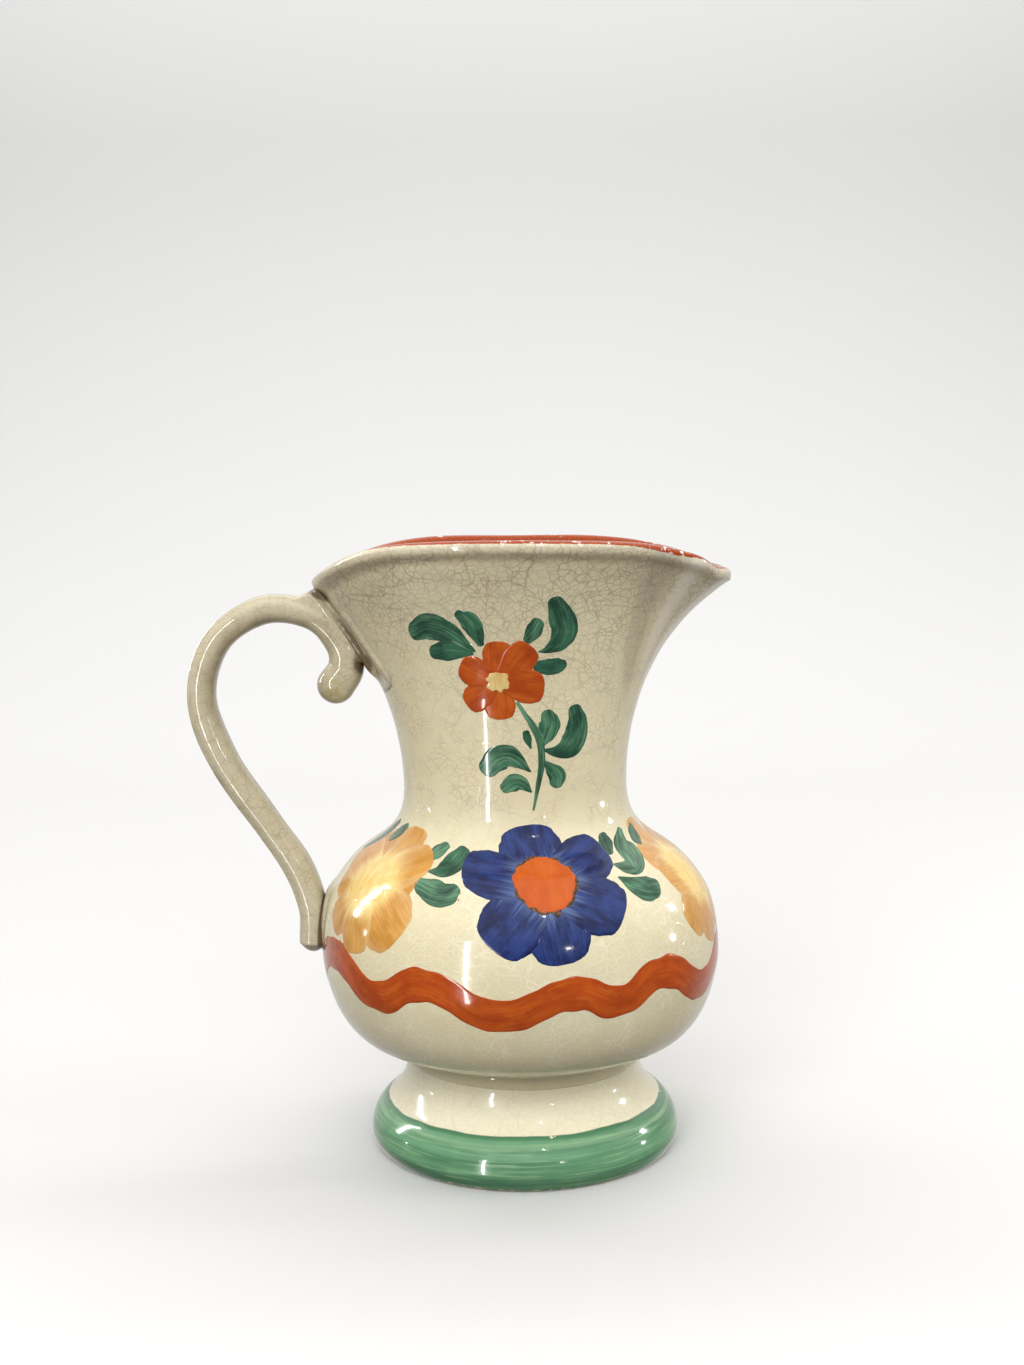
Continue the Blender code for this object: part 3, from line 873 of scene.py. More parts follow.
def handle(rings, shares):
    gap = on_outside(rings)
    # Painted shade, in brown, where the strap touches the body, round its toe and in the corner under the
    # scroll.
    grime_and_shade = 1.2 * bump_at(gap, 0.0, 0.9) * (rings[..., 0] > AXIS_X - 75)
    toe = 1.3 * smooth_step(gap, 2.2, 1.3) * (rings[..., 2] < 95.0)
    grime_and_shade = np.maximum(np.maximum(grime_and_shade, toe), crotch_shade(rings))
    sides = np.arange(HANDLE_SIDES) * 360.0 / HANDLE_SIDES
    # Brown along the outer corners in two stretches, and painted shade on the strap's inner side, strongest
    # round the arc.
    outer = bump_at(np.abs(sides - 180.0), RIDGE_TURN, 14.0)[None]
    brown_and_inner_shade = outer * (bump_at(shares, 0.33, 0.07) + 0.5 * bump_at(shares, 0.5, 0.1))[:, None]
    inner = smooth_step(np.minimum(sides, 360.0 - sides), 125.0, 55.0)[None]
    brown_and_inner_shade = np.maximum(brown_and_inner_shade, inner * (0.25 + 0.75 * smooth_step(shares, 0.38, 0.62))[:, None])
    pool = bump_at(shares, 1.0, 0.012)[:, None] * bump_at(sides, 270.0, 20.0)
    piece = closed_loft("handle_strap", rings, strap_glaze("strap_glaze"),
                        {"grime_and_shade": grime_and_shade, "brown_and_inner_shade": brown_and_inner_shade, "pool": pool})
    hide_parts("handle")


# Half width of the smear of slip along the neck, as (height, degrees to each side of the handle)
SMEAR_EDGE = ((187.5, 15.5), (182.0, 17.5), (175.0, 18.5), (169.0, 20.5), (163.5, 24.0), (160.2, 26.0),
              (158.2, 25.5), (156.8, 22.0), (156.0, 16.0))
SMEAR_COLUMNS = 61
WEB_FROM_X = -75.0
WEB_BOTTOM_Z = 159.9
WEB_REACH = 16.0


def smear_height(share, swelling):
    """Relief over the smear's width: a hollow beside the strap, then a double bead near the edge."""
    bead = 0.5 * bump_at(share, 0.90, 0.045) + 0.4 * bump_at(share, 0.77, 0.035)
    channel = -0.28 * bump_at(share, 0.62, 0.07)
    return 0.35 + bead + channel + swelling * smooth_step(share, 0.56, 0.36)


def upper_joint(surface, handle_points):
    """Slip smeared from the strap out over the neck, ending below in a rounded tongue."""
    edge = evenly_spaced(catmull_rom(SMEAR_EDGE, 10), 70)
    height = edge[:, 0][:, None]
    half = edge[:, 1][:, None]
    share = np.linspace(-1.0, 1.0, SMEAR_COLUMNS)[None]
    turn = 180.0 + share * half
    travel = surface.travel_at(np.repeat(height, SMEAR_COLUMNS, axis=1))
    ends = smooth_step(height, 187.5, 184.5) * smooth_step(height, 155.3, 164.0)
    border = (np.abs(share) > 0.995) | (height > 187.4) | (height < SMEAR_EDGE[-1][0] + 0.05)
    swelling = 1.6 * smooth_step(height, 159.0, 167.0)
    sides = smooth_step(np.abs(share), 1.0, 0.90)
    lift = smear_height(np.abs(share), swelling) * (0.04 + 0.96 * ends) * sides
    lift = np.where(border, -0.15, lift + 0.03)
    top = surface.lay(turn, travel, lift)
    # Brown grime and painted shade: darker near the strap, in the smear's channel, along its lower edge, at
    # its tip and in the corner under the scroll.
    gap = nearness(top.reshape(-1, 3), handle_points, 3.6).reshape(top.shape[:2])
    groove = bump_at(np.abs(share), 0.60, 0.13) * 0.55 * ends
    low = smooth_step(height, 172.0, 162.0)
    edge_line = 0.7 * bump_at(np.abs(share), 0.985, 0.03) * smooth_step(height, 172.0, 160.0)
    grime_and_shade = np.maximum(np.maximum(gap * (0.45 + 0.75 * low), groove), edge_line)
    tip = 0.9 * smooth_step(height, 159.0, 156.6)
    grime_and_shade = np.maximum(np.maximum(grime_and_shade, tip), crotch_shade(top)).ravel()
    under = surface.lay(np.broadcast_to(turn, travel.shape), travel, np.full(travel.shape, -ENAMEL_DEPTH))
    smear = np.vstack([top.reshape(-1, 3), under.reshape(-1, 3)])
    smear_faces = patch_faces(*travel.shape).tolist()
    web, web_faces, web_grime_and_shade = joint_web()
    faces = smear_faces + [[corner + len(smear) for corner in face] for face in web_faces]
    grime_and_shade = np.concatenate([grime_and_shade, grime_and_shade, web_grime_and_shade])
    brown_and_inner_shade = np.zeros_like(grime_and_shade)
    piece = make_piece("handle_upper_joint", np.vstack([smear, web]), faces,
                       strap_glaze("upper_joint_glaze"),
                       {"grime_and_shade": grime_and_shade, "brown_and_inner_shade": brown_and_inner_shade, "pool": brown_and_inner_shade})
    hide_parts("handle_upper_slip")


def joint_web():
    """The clay that fills the corner between the strap's back and the neck, up to the lip."""
    centres, along = handle_line()
    outward = np.column_stack([-along[:, 2], np.zeros(len(along)), along[:, 0]])
    depth = np.arange(0.0, WEB_REACH, 0.2)
    probes = centres[:, None] + depth[None, :, None] * outward[:, None]
    inside = on_outside(probes) < 0
    reach = np.where(inside.any(axis=1), depth[inside.argmax(axis=1)], WEB_REACH)
    x = centres[:, 0] - AXIS_X
    upper_half = np.arange(len(x)) > len(x) // 2
    used = (x > WEB_FROM_X) & (centres[:, 2] > WEB_BOTTOM_Z) & upper_half
    grown = STRAP_HALF_THICKNESS - 0.4 + 9.0 * smooth_step(x, WEB_FROM_X, WEB_FROM_X + 10.0)
    end = np.minimum(reach + 1.6, grown)
    around = np.linspace(0.0, 1.0, 15)
    rings = []
    for i in np.flatnonzero(used):
        out = 1.5 + (end[i] - 1.5) * around
        to_neck = np.clip((reach[i] - out) / 3.0, 0.0, 1.0)
        half = 5.4 + 3.2 * (1 - to_neck) ** 2 * (reach[i] < 12.0)
        half = half * np.sqrt(np.clip(1 - (around / 1.02) ** 12, 0.0, 1.0))
        path = centres[i] + out[:, None] * outward[i]
        side = half[:, None] * (0.0, 1.0, 0.0)
        rings.append(np.vstack([path - side, (path + side)[::-1]]))
    rings = np.array(rings)
    count, columns = rings.shape[:2]
    faces = loft_faces(count, columns).tolist()
    faces.append(list(range(columns - 1, -1, -1)))
    faces.append([(count - 1) * columns + j for j in range(columns)])
    points = rings.reshape(-1, 3)
    # Painted shade, in brown, where the web meets the neck, strongest low down and near the top.
    low = np.maximum(smooth_step(points[:, 2], 180.0, 166.0), smooth_step(points[:, 2], 179.0, 182.0))
    gap = np.abs(on_outside(points))
    grime_and_shade = 1.25 * (0.35 + 0.65 * low) * bump_at(gap, 0.0, 1.5 + 1.3 * low)
    return points, faces, np.maximum(grime_and_shade, crotch_shade(points))


def lower_joint(surface, handle_points):
    """The collar of slip round the strap's toe, an oval on the belly."""
    rings, sides = 16, 72
    share = np.linspace(0.03, 1.0, rings)[:, None]
    around = 2 * np.pi * np.arange(sides)[None] / sides
    middle = surface.travel_at(76.0)
    across = 9.4 * share * np.cos(around)
    travel = middle + 14.5 * share * np.sin(around)
    turn = surface.turn_of(180.0, across, travel)
    lift = 1.25 * smooth_step(share, 1.0, 0.55)
    lift[-1] = -0.15
    points, under = (surface.lay(turn, travel, np.broadcast_to(lifts, turn.shape)) for lifts in (lift, -0.4))
    both = np.concatenate([under, points[::-1]])
    # Painted shade, in brown, where the collar meets the strap.
    gap = 1.5 * nearness(both.reshape(-1, 3), handle_points, 3.0).reshape(both.shape[:2])
    zeros = np.zeros_like(gap)
    piece = closed_loft("handle_lower_joint", both, strap_glaze("lower_joint_glaze"),
                        {"grime_and_shade": gap, "brown_and_inner_shade": zeros, "pool": zeros})
    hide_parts("handle_lower_slip")


def patch_faces(rows, columns):
    """Faces of a top grid, an under grid after it and the strip that joins their borders."""
    count = rows * columns
    top = loft_faces(rows, columns, wrap_columns=False)
    under = top[:, ::-1] + count
    index = np.arange(count).reshape(rows, columns)
    border = np.concatenate([index[0, :-1], index[:-1, -1], index[-1, :0:-1], index[:0:-1, 0]])
    following = np.roll(border, -1)
    strip = np.stack([following, border, border + count, following + count], axis=-1)
    return np.vstack([top, under, strip])


# ---------------------------------------------------------------- painted decoration

STROKE_STEPS = 9
ACROSS = np.array((-1.0, -0.95, -0.82, -0.62, -0.38, -0.13, 0.13, 0.38, 0.62, 0.82, 0.95, 1.0))
CAP_TURNS = (7, 20, 36, 54, 72)
PETAL_STATIONS = ((0.12, 0.42), (0.38, 0.80), (0.66, 1.0), (0.86, 0.98), (1.0, 0.84))
PETAL_BLUNT = 0.42
BLOT_SIDES = 64
BLOT_RINGS = (0.004, 0.03, 0.3, 0.55, 0.75, 0.9, 0.97, 1.0)


def round_end(station, ahead, blunt):
    """Rows (across, up, half width) that round off a stroke beyond its last station."""
    turn = np.radians(CAP_TURNS)[:, None]
    width = station[2]
    return np.hstack([station[:2] + ahead * width * blunt * np.cos(turn), width * np.sin(turn)])


def enamel_lift(edge, layer):
    """How far a painted film stands proud, thinning towards its edge, which dips under the glaze."""
    lift = ENAMEL_LIFT + ENAMEL_STEP * layer
    return np.where(edge > 0.999, -0.08, lift * (1 - 0.25 * edge ** 8))


class Paint:
    """Collects the brush strokes of one colour into one piece."""

    def __init__(self, name, surface, material, slot="glazed_cream"):
        self.name = name
        self.surface = surface
        self.material = material
        self.slot = slot
        self.points = []
        self.faces = []
        self.attributes = {"across": [], "along": [], "edge": [], "tint": []}
        self.count = 0

    def keep(self, x, y, home, layer, edge, across, along, faces):
        """Lays a grid of motif coordinates on the body and adds its closed body."""
        travel = home[1] + y
        turn = self.surface.turn_of(home[0], x, travel)
        tint = np.full(x.shape, RNG.uniform())
        for lift in (enamel_lift(edge, layer), np.full(x.shape, -ENAMEL_DEPTH)):
            self.points.append(self.surface.lay(turn, travel, lift).reshape(-1, 3))
            for key, values in (("across", across), ("along", along), ("edge", edge), ("tint", tint)):
                self.attributes[key].append(values.ravel())
        self.faces += (np.asarray(faces) + self.count).tolist()
        self.count += 2 * x.size

    def stroke(self, home, path, layer=0, blunt=0.75, ragged=0.10):
        """One brush stroke along path stations (across, up, half width)."""
        line = catmull_rom(path, STROKE_STEPS)
        line[:, 2] = np.maximum(line[:, 2], 0.12)
        heading = np.gradient(line[:, :2], axis=0)
        heading /= np.linalg.norm(heading, axis=1, keepdims=True)
        start = round_end(line[0], -heading[0], blunt)
        end = round_end(line[-1], heading[-1], blunt)
        rows = np.vstack([start, line, end[::-1]])
        headings = np.pad(heading, ((len(start), len(end)), (0, 0)), "edge")
        wobble = RNG.normal(size=(2, len(rows) + 4))
        wobble = np.array([np.convolve(side, (0.2, 0.3, 0.3, 0.2), "valid")[:len(rows)] for side in wobble])
        share = ACROSS[None]
        side = np.where(share > 0, wobble[0][:, None], wobble[1][:, None]) * ragged * np.abs(share) ** 3
        offset = share * (rows[:, 2:3] + side * np.minimum(1.0, rows[:, 2:3]))
        x = rows[:, 0:1] - headings[:, 1:2] * offset
        y = rows[:, 1:2] + headings[:, 0:1] * offset
        edge = np.broadcast_to(np.abs(share), x.shape).copy()
        edge[0] = edge[-1] = 1.0
        along = np.repeat(travelled(rows[:, :2])[:, None], len(ACROSS), axis=1)
        self.keep(x, y, home, layer, edge, offset, along, patch_faces(*x.shape))

    def blot(self, home, centre, half_width, half_height, layer=0, ragged=0.25, waves=9, square=0.0):
        """A round dab with an uneven outline."""
        around = 2 * np.pi * np.arange(BLOT_SIDES) / BLOT_SIDES
        outline = np.ones(BLOT_SIDES)
        for n in range(2, 2 + waves):
            outline += ragged / half_width * RNG.normal() * 0.6 * np.cos(n * around + RNG.uniform(0, 6.28))
        outline *= 1 - square * np.cos(4 * around)
        share = np.array(BLOT_RINGS)[:, None]
        x = centre[0] + half_width * share * outline * np.cos(around)
        y = centre[1] + half_height * share * outline * np.sin(around)
        edge = np.repeat(share, BLOT_SIDES, axis=1)
        top = loft_faces(len(share), BLOT_SIDES)
        inner = np.arange(BLOT_SIDES)
        outer = inner + x.size - BLOT_SIDES
        walls = [np.stack([a + x.size, b + x.size, b, a], axis=-1)
                 for a, b in ((outer, np.roll(outer, -1)), (np.roll(inner, -1), inner))]
        faces = np.vstack([top[:, ::-1], top + x.size, *walls])
        self.keep(x, y, home, layer, edge, x - centre[0], y - centre[1], faces)

    def petal(self, home, heart, direction, reach, half_width, layer=0, ragged=0.16):
        """A petal pulled from the flower's heart outwards and pressed flat at its end."""
        angle = math.radians(direction)
        ahead = np.array((math.cos(angle), math.sin(angle)))
        end = reach - PETAL_STATIONS[-1][1] * half_width * PETAL_BLUNT
        path = [(*(ahead * end * share + heart), half_width * width) for share, width in PETAL_STATIONS]
        self.stroke(home, path, layer, PETAL_BLUNT, ragged)

    def make(self):
        attributes = {key: np.concatenate(values) for key, values in self.attributes.items()}
        points = np.vstack(self.points)
        return make_piece(self.name, points, self.faces, self.material, attributes)


# Leaves and stem round the orange flower: stations (across, up, half width) from the flower's heart
SPRAY_LEAVES = (
    ((-26.0, 17.0, 3.4), (-21.2, 18.2, 4.5), (-15.1, 16.4, 3.8), (-10.1, 12.6, 2.0), (-6.6, 10.0, 0.4)),
    ((-19.9, 9.9, 2.5), (-15.2, 10.2, 3.5), (-10.8, 9.8, 2.1), (-7.4, 9.2, 0.6)),
    ((-10.8, 22.0, 1.5), (-7.7, 19.7, 3.3), (-5.7, 15.9, 2.6), (-4.6, 12.4, 1.2)),
    ((19.1, 25.4, 2.8), (20.6, 21.2, 4.4), (21.4, 16.9, 4.6), (19.4, 12.9, 3.3), (15.8, 10.4, 1.3),
     (13.0, 9.7, 0.3)),
    ((13.1, 18.8, 2.2), (11.6, 16.2, 2.6), (9.7, 13.5, 1.5)),
    ((12.4, 4.9, 2.0), (16.1, 4.8, 2.7), (19.4, 5.4, 2.3), (20.6, 5.7, 1.5)),
    ((7.9, -16.0, 1.1), (8.3, -18.1, 1.3), (9.1, -20.7, 0.4)),
    ((14.8, -10.4, 2.2), (15.4, -13.0, 3.5), (14.3, -16.5, 2.9), (12.8, -19.6, 1.0)),
    ((24.0, -9.3, 2.5), (24.8, -13.0, 3.7), (24.0, -17.3, 4.2), (21.3, -20.9, 3.9), (17.3, -22.2, 2.0),
     (13.2, -21.5, 0.4)),
    ((13.3, -25.2, 0.5), (15.4, -27.6, 2.1), (17.2, -29.8, 3.0), (16.8, -32.0, 2.3)),
    ((-4.4, -27.2, 3.2), (-1.4, -24.3, 4.1), (2.2, -23.4, 3.7), (5.3, -25.1, 2.3), (8.8, -28.2, 0.3)),
    ((0.8, -33.2, 1.9), (3.3, -31.7, 2.9), (6.0, -31.9, 2.3), (8.8, -34.5, 0.4)),
)
SPRAY_STEM = ((5.6, -6.5, 0.6), (8.1, -10.7, 0.8), (11.3, -16.4, 1.3), (12.4, -21.0, 1.2),
              (12.3, -26.1, 1.1), (11.2, -32.0, 0.8), (9.4, -40.2, 0.3))
ORANGE_PETALS = ((87, 13.2, 4.9), (47, 15.8, 5.0), (-8, 14.3, 5.7), (-88, 11.8, 4.9), (-145, 12.6, 4.6),
                 (155, 12.9, 4.9))

# Leaves to each side of the blue flower, and the flower itself
GARLAND_LEAVES = (
    ((-35.6, 9.4, 1.4), (-32.6, 12.2, 2.3), (-29.2, 14.8, 1.4)),
    ((-36.6, 3.7, 0.4), (-31.4, 4.6, 2.7), (-26.4, 9.2, 3.6), (-23.2, 13.4, 2.2)),
    ((-39.6, -2.0, 3.2), (-35.2, -3.4, 4.9), (-30.7, -3.4, 4.2), (-27.8, -1.9, 2.3)),
    ((23.0, 16.6, 2.0), (23.6, 13.9, 3.0), (24.2, 10.8, 1.6)),
    ((30.8, 13.4, 1.4), (33.4, 9.2, 4.2), (33.0, 4.6, 4.6), (28.8, 3.8, 2.8), (24.2, 5.6, 0.4)),
    ((24.6, 0.4, 0.4), (29.6, -3.0, 2.9), (34.6, -5.2, 4.3), (38.4, -5.8, 3.4)),
)
BLUE_PETALS = ((98, 22.4, 10.2), (30, 25.3, 10.0), (-27, 27.2, 9.6), (-82, 25.5, 10.1), (-131, 27.2, 9.6),
               (165, 25.4, 9.6))
OCHRE_LEFT = ((120, 23.5, 9.5), (86, 23.5, 7.0), (41, 21.0, 10.2), (5, 19.0, 9.0), (-37, 26.3, 10.4),
              (-84, 23.2, 8.0), (-128, 22.8, 7.0), (184, 22.0, 8.0), (157, 27.0, 8.6))
OCHRE_RIGHT = ((101, 25.5, 6.2), (142, 20.8, 9.6), (176, 19.0, 9.0), (219, 26.0, 7.6), (252, 24.4, 7.4),
               (300, 22.5, 8.5), (350, 23.0, 9.0), (52, 23.5, 9.5))
OCHRE_TIPS = (((-27.0, 8.5, 1.6), (-21.0, 16.5, 2.8), (-14.5, 22.8, 1.0)),
              ((-12.0, 17.0, 1.8), (-9.0, 20.0, 2.4), (-6.4, 22.6, 1.2)))

# Where each motif sits: (turn, travel)
SPRAYS = ((-96.4, 149.4), (84.0, 149.0))
BLUE_FLOWERS = ((-81.3, 82.1), (62.0, 81.5))
OCHRE_FLOWERS = (((-143.9, 78.0), OCHRE_LEFT), ((-13.7, 77.0), OCHRE_RIGHT), ((137.5, 78.0), OCHRE_LEFT))

# Crests and troughs of the wavy band, as (turn, height of its middle)
BAND_TURNS = ((-154, 70.2), (-132.5, 62.0), (-117.5, 68.2), (-95.5, 60.4), (-75, 66.6), (-64, 62.8),
              (-48.5, 68.9), (-27.5, 60.4), (-9, 68.2), (11, 61.4), (30, 68.0), (50, 60.9), (69, 67.6),
              (88, 60.8), (108, 68.2), (127, 61.2), (150, 69.0), (178, 58.0))
BAND_HALF_WIDTH = 5.2
BELLY_RADIUS = 65.0


def wavy_band(surface):
    """The orange ribbon round the belly: crests and troughs joined by smooth S curves."""
    paint = Paint("enamel_wavy_band", surface, enamel("enamel_band", ORANGE_DEEP, ORANGE, ORANGE_THIN, 0.45))
    turn = np.arange(-154, 206, 0.5)
    known = np.array(BAND_TURNS + ((BAND_TURNS[0][0] + 360, BAND_TURNS[0][1]),), float)
    span = np.clip(np.searchsorted(known[:, 0], turn, side="right") - 1, 0, len(known) - 2)
    share = (turn - known[span, 0]) / (known[span + 1, 0] - known[span, 0])
    blend = share ** 3 * (6 * share ** 2 - 15 * share + 10)
    middle = surface.travel_at(known[span, 1] * (1 - blend) + known[span + 1, 1] * blend)
    per_degree = np.pi / 180 * BELLY_RADIUS
    slope = np.gradient(middle) / (0.5 * per_degree)
    half = BAND_HALF_WIDTH * np.sqrt(1 + slope ** 2) ** 0.8
    wobble = sum(RNG.normal() * 0.10 * np.sin(np.radians(n * turn + RNG.uniform(0, 360)))
                 for n in range(9, 60, 5))
    half = half + wobble
    share = ACROSS[:, None]
    travel = middle + share * half
    looks = {"across": share * half, "along": turn * per_degree, "edge": np.abs(share), "tint": 0.4}
    for key, values in looks.items():
        values = np.broadcast_to(values, travel.shape)
        paint.attributes[key].append(np.vstack([values, values[::-1]]).ravel())
    lift = np.broadcast_to(enamel_lift(np.abs(share), 0.5), travel.shape)
    lift = np.vstack([lift, np.full(travel.shape, -ENAMEL_DEPTH)])
    travel = np.vstack([travel, travel[::-1]])
    points = surface.lay(np.broadcast_to(turn, travel.shape), travel, lift)
    paint.points.append(points.reshape(-1, 3))
    paint.faces = loft_faces(len(travel), len(turn), wrap_rows=True).tolist()
    paint.make()


GREEN_DEEP = (0.014, 0.050, 0.030)
GREEN = (0.040, 0.140, 0.078)
GREEN_THIN = (0.16, 0.33, 0.19)
BLUE_DEEP = (0.007, 0.012, 0.060)
BLUE = (0.019, 0.040, 0.175)
BLUE_THIN = (0.045, 0.09, 0.26)
BLUE_HEART = (0.085, 0.13, 0.27)
OCHRE_DEEP = (0.53, 0.235, 0.042)
OCHRE = (0.63, 0.31, 0.066)
OCHRE_THIN = (0.69, 0.43, 0.14)
YELLOW_DEEP = (0.78, 0.50, 0.13)
YELLOW = (0.85, 0.64, 0.23)
YELLOW_THIN = (0.88, 0.74, 0.42)
YELLOW_EDGE = (0.79, 0.55, 0.18)
BUFF_DEEP = (0.60, 0.36, 0.09)
BUFF = (0.70, 0.50, 0.18)
BUFF_THIN = (0.80, 0.66, 0.36)
ORANGE_BRIGHT = (0.58, 0.105, 0.011)


def decoration(surface):
    def paint(piece, glaze, *tones, **options):
        return Paint(piece, surface, enamel(glaze, *tones, **options))

    green = paint("enamel_leaves", "enamel_green", GREEN_DEEP, GREEN, GREEN_THIN, 0.7)
    orange = paint("enamel_orange_flowers", "enamel_orange", ORANGE_DEEP, ORANGE, ORANGE_THIN, 0.4)
    heart = paint("enamel_flower_hearts", "enamel_heart", BUFF_DEEP, BUFF, BUFF_THIN, 0.6)
    blue = paint("enamel_blue_flowers", "enamel_blue", BLUE_DEEP, BLUE, BLUE_THIN, 0.28,
                 heart=BLUE_HEART, reach=13.0, ray=1.2)
    disc = paint("enamel_orange_hearts", "enamel_disc", ORANGE, ORANGE_BRIGHT, ORANGE_THIN, 0.3)
    burnt = Paint("enamel_burnt_edges", surface, charred_enamel())
    ochre = paint("enamel_ochre_flowers", "enamel_ochre", OCHRE_DEEP, OCHRE, OCHRE_THIN, 0.5,
                  heart=YELLOW, reach=14.0, ray=0.4, fade=0.2)
    yellow = paint("enamel_yellow_hearts", "enamel_yellow", YELLOW_DEEP, YELLOW, YELLOW_THIN, 0.5,
                   fade=0.9, fade_to=YELLOW_EDGE)

    for home in SPRAYS:
        for i, leaf in enumerate(SPRAY_LEAVES):
            green.stroke(home, leaf, layer=i % 2)
        green.stroke(home, SPRAY_STEM, layer=2)
        for i, (direction, reach, half_width) in enumerate(ORANGE_PETALS):
            orange.petal(home, (0.0, 0.0), direction, reach, half_width, layer=3 + (i % 3))
        heart.blot(home, (0.0, 0.2), 3.7, 3.2, layer=7, ragged=0.35, square=0.08)
    for home in BLUE_FLOWERS:
        for i, leaf in enumerate(GARLAND_LEAVES):
            green.stroke(home, leaf, layer=i % 2)
        for i, (direction, reach, half_width) in enumerate(BLUE_PETALS):
            blue.petal(home, (0.0, 0.4), direction, reach, half_width, layer=2 + (i % 3))
        burnt.blot(home, (0.3, 0.9), 10.2, 11.1, layer=6, ragged=0.28, waves=16)
        disc.blot(home, (0.2, 1.1), 9.6, 10.4, layer=8, ragged=0.16, waves=16)
    for home, petals in OCHRE_FLOWERS:
        for i, (direction, reach, half_width) in enumerate(petals):
            ochre.petal(home, (-1.0, 0.0), direction, reach, half_width, layer=i % 3)
        yellow.blot(home, (-2.0, 0.0), 9.5, 9.0, layer=4, ragged=0.8)
        for tip in OCHRE_TIPS:
            green.stroke(home, tip, layer=3)
    for paint in (green, orange, heart, blue, disc, burnt, ochre, yellow):
        paint.make()


# ---------------------------------------------------------------- studio

CAMERA_PLACE = (17.43, -552.18, 210.87)
CAMERA_PITCH = 6.007
CAMERA_ROLL = -0.5147
CAMERA_LENS = 44.815
SENSOR = 36.0
FLOOR_LEVEL = -0.05
SKY = 0.76
BOUNCE = 0.12
GLARE = 130.0
WALL_GLOW = 0.55
BACKDROP = 0.85


def stage():
    """A pale sweep of floor, wide curve and back wall, seen by the camera and lighting nothing."""
    shader = Shader("studio_sweep")
    mottled = shader.mix(shader.noise(160.0, 3.0) * 0.06, (0.62, 0.62, 0.62), (0.5, 0.5, 0.51))
    paper = shader.finish(mottled, 0.65, shader.noise(3.0, 2.0) * 0.02, coat=0.0)
    bend = 600.0
    start = 700.0
    profile = [(-2600.0, FLOOR_LEVEL), (start, FLOOR_LEVEL)]
    for turn in np.radians(range(6, 91, 6)):
        profile.append((start + bend * math.sin(turn), bend * (1 - math.cos(turn)) + FLOOR_LEVEL))
    profile.append((start + bend, 3200.0))
    points = [(x / MM_PER_METRE, y / MM_PER_METRE, z / MM_PER_METRE)
              for y, z in profile for x in (-3000, 3000)]
    mesh = bpy.data.meshes.new("studio_sweep")
    mesh.from_pydata(points, [], loft_faces(len(profile), 2, wrap_columns=False).tolist())
    mesh.shade_smooth()
    mesh.materials.append(paper)
    sweep = bpy.data.objects.new("studio_sweep", mesh)
    bpy.context.scene.collection.objects.link(sweep)
    sweep.visible_diffuse = False
    sweep.visible_shadow = False
    sweep.visible_glossy = False


def lamp(name, turn, distance, height, width, tall, watts, aim=(20.0, 0.0, 110.0)):
    """A flat panel at this turn about the pitcher, facing the aim point."""
    data = bpy.data.lights.new(name, "AREA")
    data.shape = "RECTANGLE"
    data.size = width / MM_PER_METRE
    data.size_y = tall / MM_PER_METRE
    data.energy = watts
    panel = bpy.data.objects.new(name, data)
    angle = math.radians(turn)
    place = Vector((AXIS_X + distance * math.cos(angle), distance * math.sin(angle), height))
    facing = Vector(aim) - place
    panel.matrix_world = (Matrix.Translation(place / MM_PER_METRE)
                          @ facing.to_track_quat("-Z", "Y").to_matrix().to_4x4())
    panel.visible_camera = False
    bpy.context.scene.collection.objects.link(panel)
    return panel


# Broad soft lights: turn, distance, height, width, tall, watts
FILLS = (("key", -98, 950, 780, 900, 700, 9.2), ("fill_front", -112, 900, 330, 300, 560, 2.2),
         ("fill_left", -165, 950, 700, 420, 520, 1.4), ("fill_right", 0, 950, 300, 420, 620, 4.4))

# Small bright panes: turn, distance, height, width, tall
WINDOWS = (("window_neck", -118.5, 930, -150, 30, 260), ("window_belly", -118.5, 940, 150, 36, 420),
           ("window_left", 161, 850, 435, 50, 470), ("window_waist_left", 175, 925, 120, 24, 45),
           ("window_waist_middle", -64, 920, 274, 45, 24), ("window_waist_right", 4, 922, 103, 60, 50),
           ("window_right", 14, 886, 372, 70, 90), ("window_above", -72, 629, 785, 30, 40))


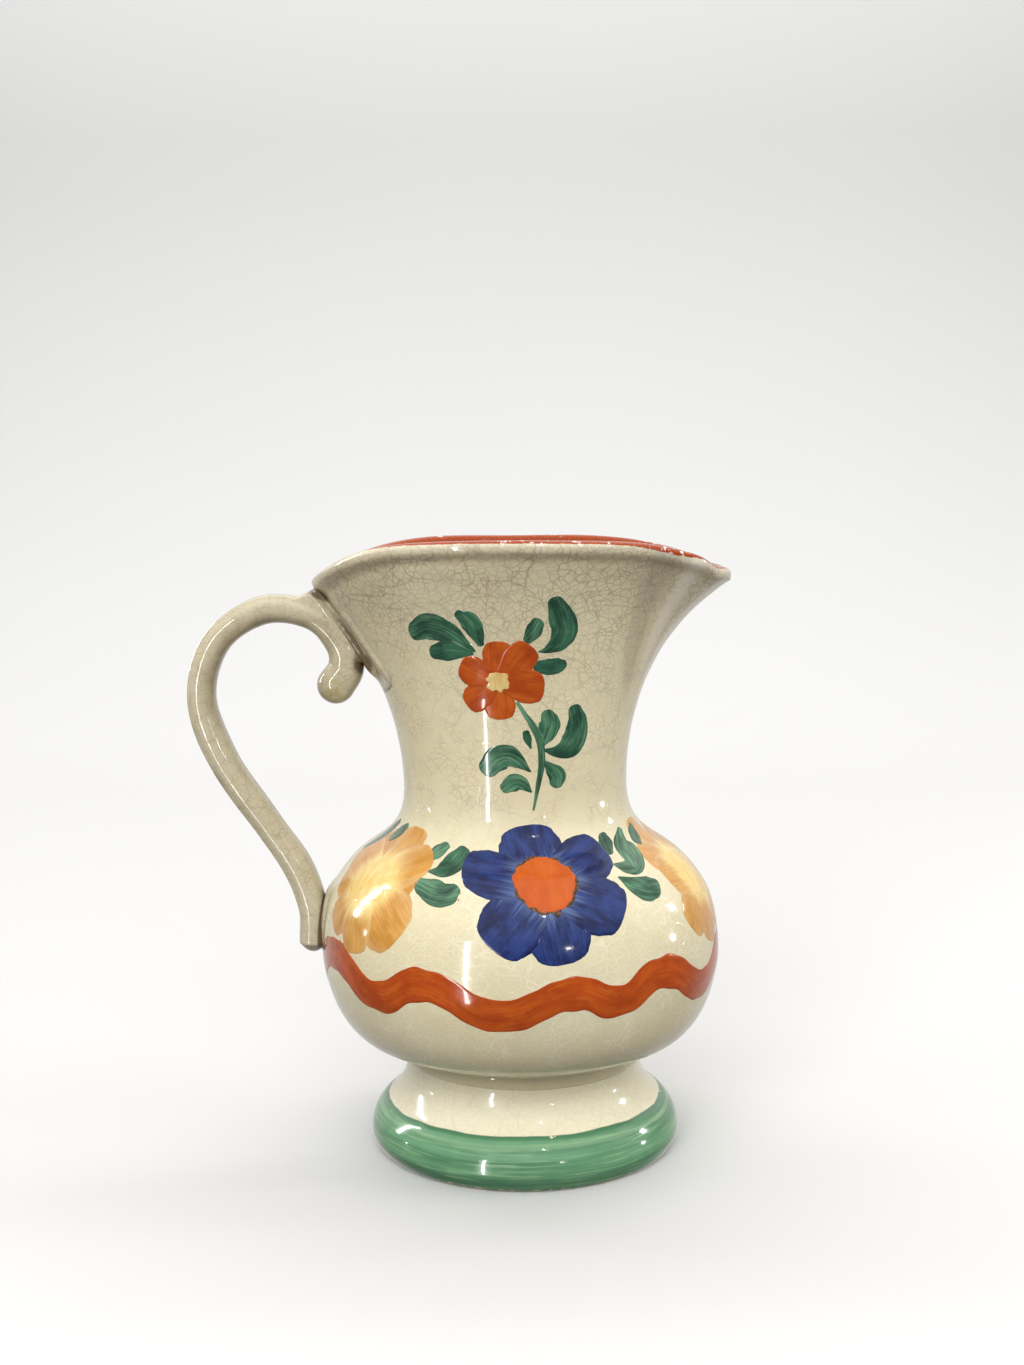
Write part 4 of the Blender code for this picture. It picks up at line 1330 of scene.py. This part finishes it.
def lights():
    """Fills that leave no mirror image in the glaze, and windows that show only as mirror images."""
    for name, *panel in FILLS:
        lamp(name, *panel).visible_glossy = False
    lamp("wall_wash", 90, 500, 1500, 2400, 300, 22.0, aim=(0.0, 1300.0, 500.0)).visible_glossy = False
    for name, turn, distance, height, width, tall in WINDOWS:
        watts = GLARE * width * tall / MM_PER_METRE ** 2
        lamp(name, turn, distance, height, width, tall, watts).visible_diffuse = False


def air():
    """Light from above, a little from below, a glow from behind; the camera sees one even tone."""
    shader = Shader("studio_air", "worlds")
    y, z = shader.split(shader.take("Generated", "ShaderNodeTexCoord"))[1:]
    strength = shader.ramp(z, -0.05, 0.85, BOUNCE, SKY) + shader.ramp(y, 0.1, 0.95, 0.0, WALL_GLOW)
    seen = shader.take("Is Camera Ray", "ShaderNodeLightPath")
    strength = strength + seen * (BACKDROP - strength)
    light = shader.take("Background", "ShaderNodeBackground",
                        {"Color": (1.0, 0.98, 0.94, 1.0), "Strength": strength})
    shader.node("ShaderNodeOutputWorld", {"Surface": light})
    bpy.context.scene.world = shader.owner


def camera():
    data = bpy.data.cameras.new("photo_camera")
    data.lens = CAMERA_LENS
    data.sensor_width = SENSOR
    data.clip_start = 0.01
    view = bpy.data.objects.new("photo_camera", data)
    pitch = Matrix.Rotation(math.radians(90 - CAMERA_PITCH), 4, "X")
    roll = Matrix.Rotation(math.radians(CAMERA_ROLL), 4, "Z")
    view.matrix_world = Matrix.Translation(Vector(CAMERA_PLACE) / MM_PER_METRE) @ pitch @ roll
    bpy.context.scene.collection.objects.link(view)
    bpy.context.scene.camera = view
    bpy.context.scene.view_settings.view_transform = "Standard"


def write_sizes():
    bpy.context.view_layer.update()


strap_rings, strap_shares = handle_rings()
strap_points = strap_rings[::2, ::2].reshape(-1, 3)
skin = pitcher_body(strap_points)
pitcher_foot()
foot_joint()
handle(strap_rings, strap_shares)
upper_joint(skin, strap_points)
lower_joint(skin, strap_points)
wavy_band(skin)
decoration(skin)
stage()
lights()
air()
camera()
write_sizes()
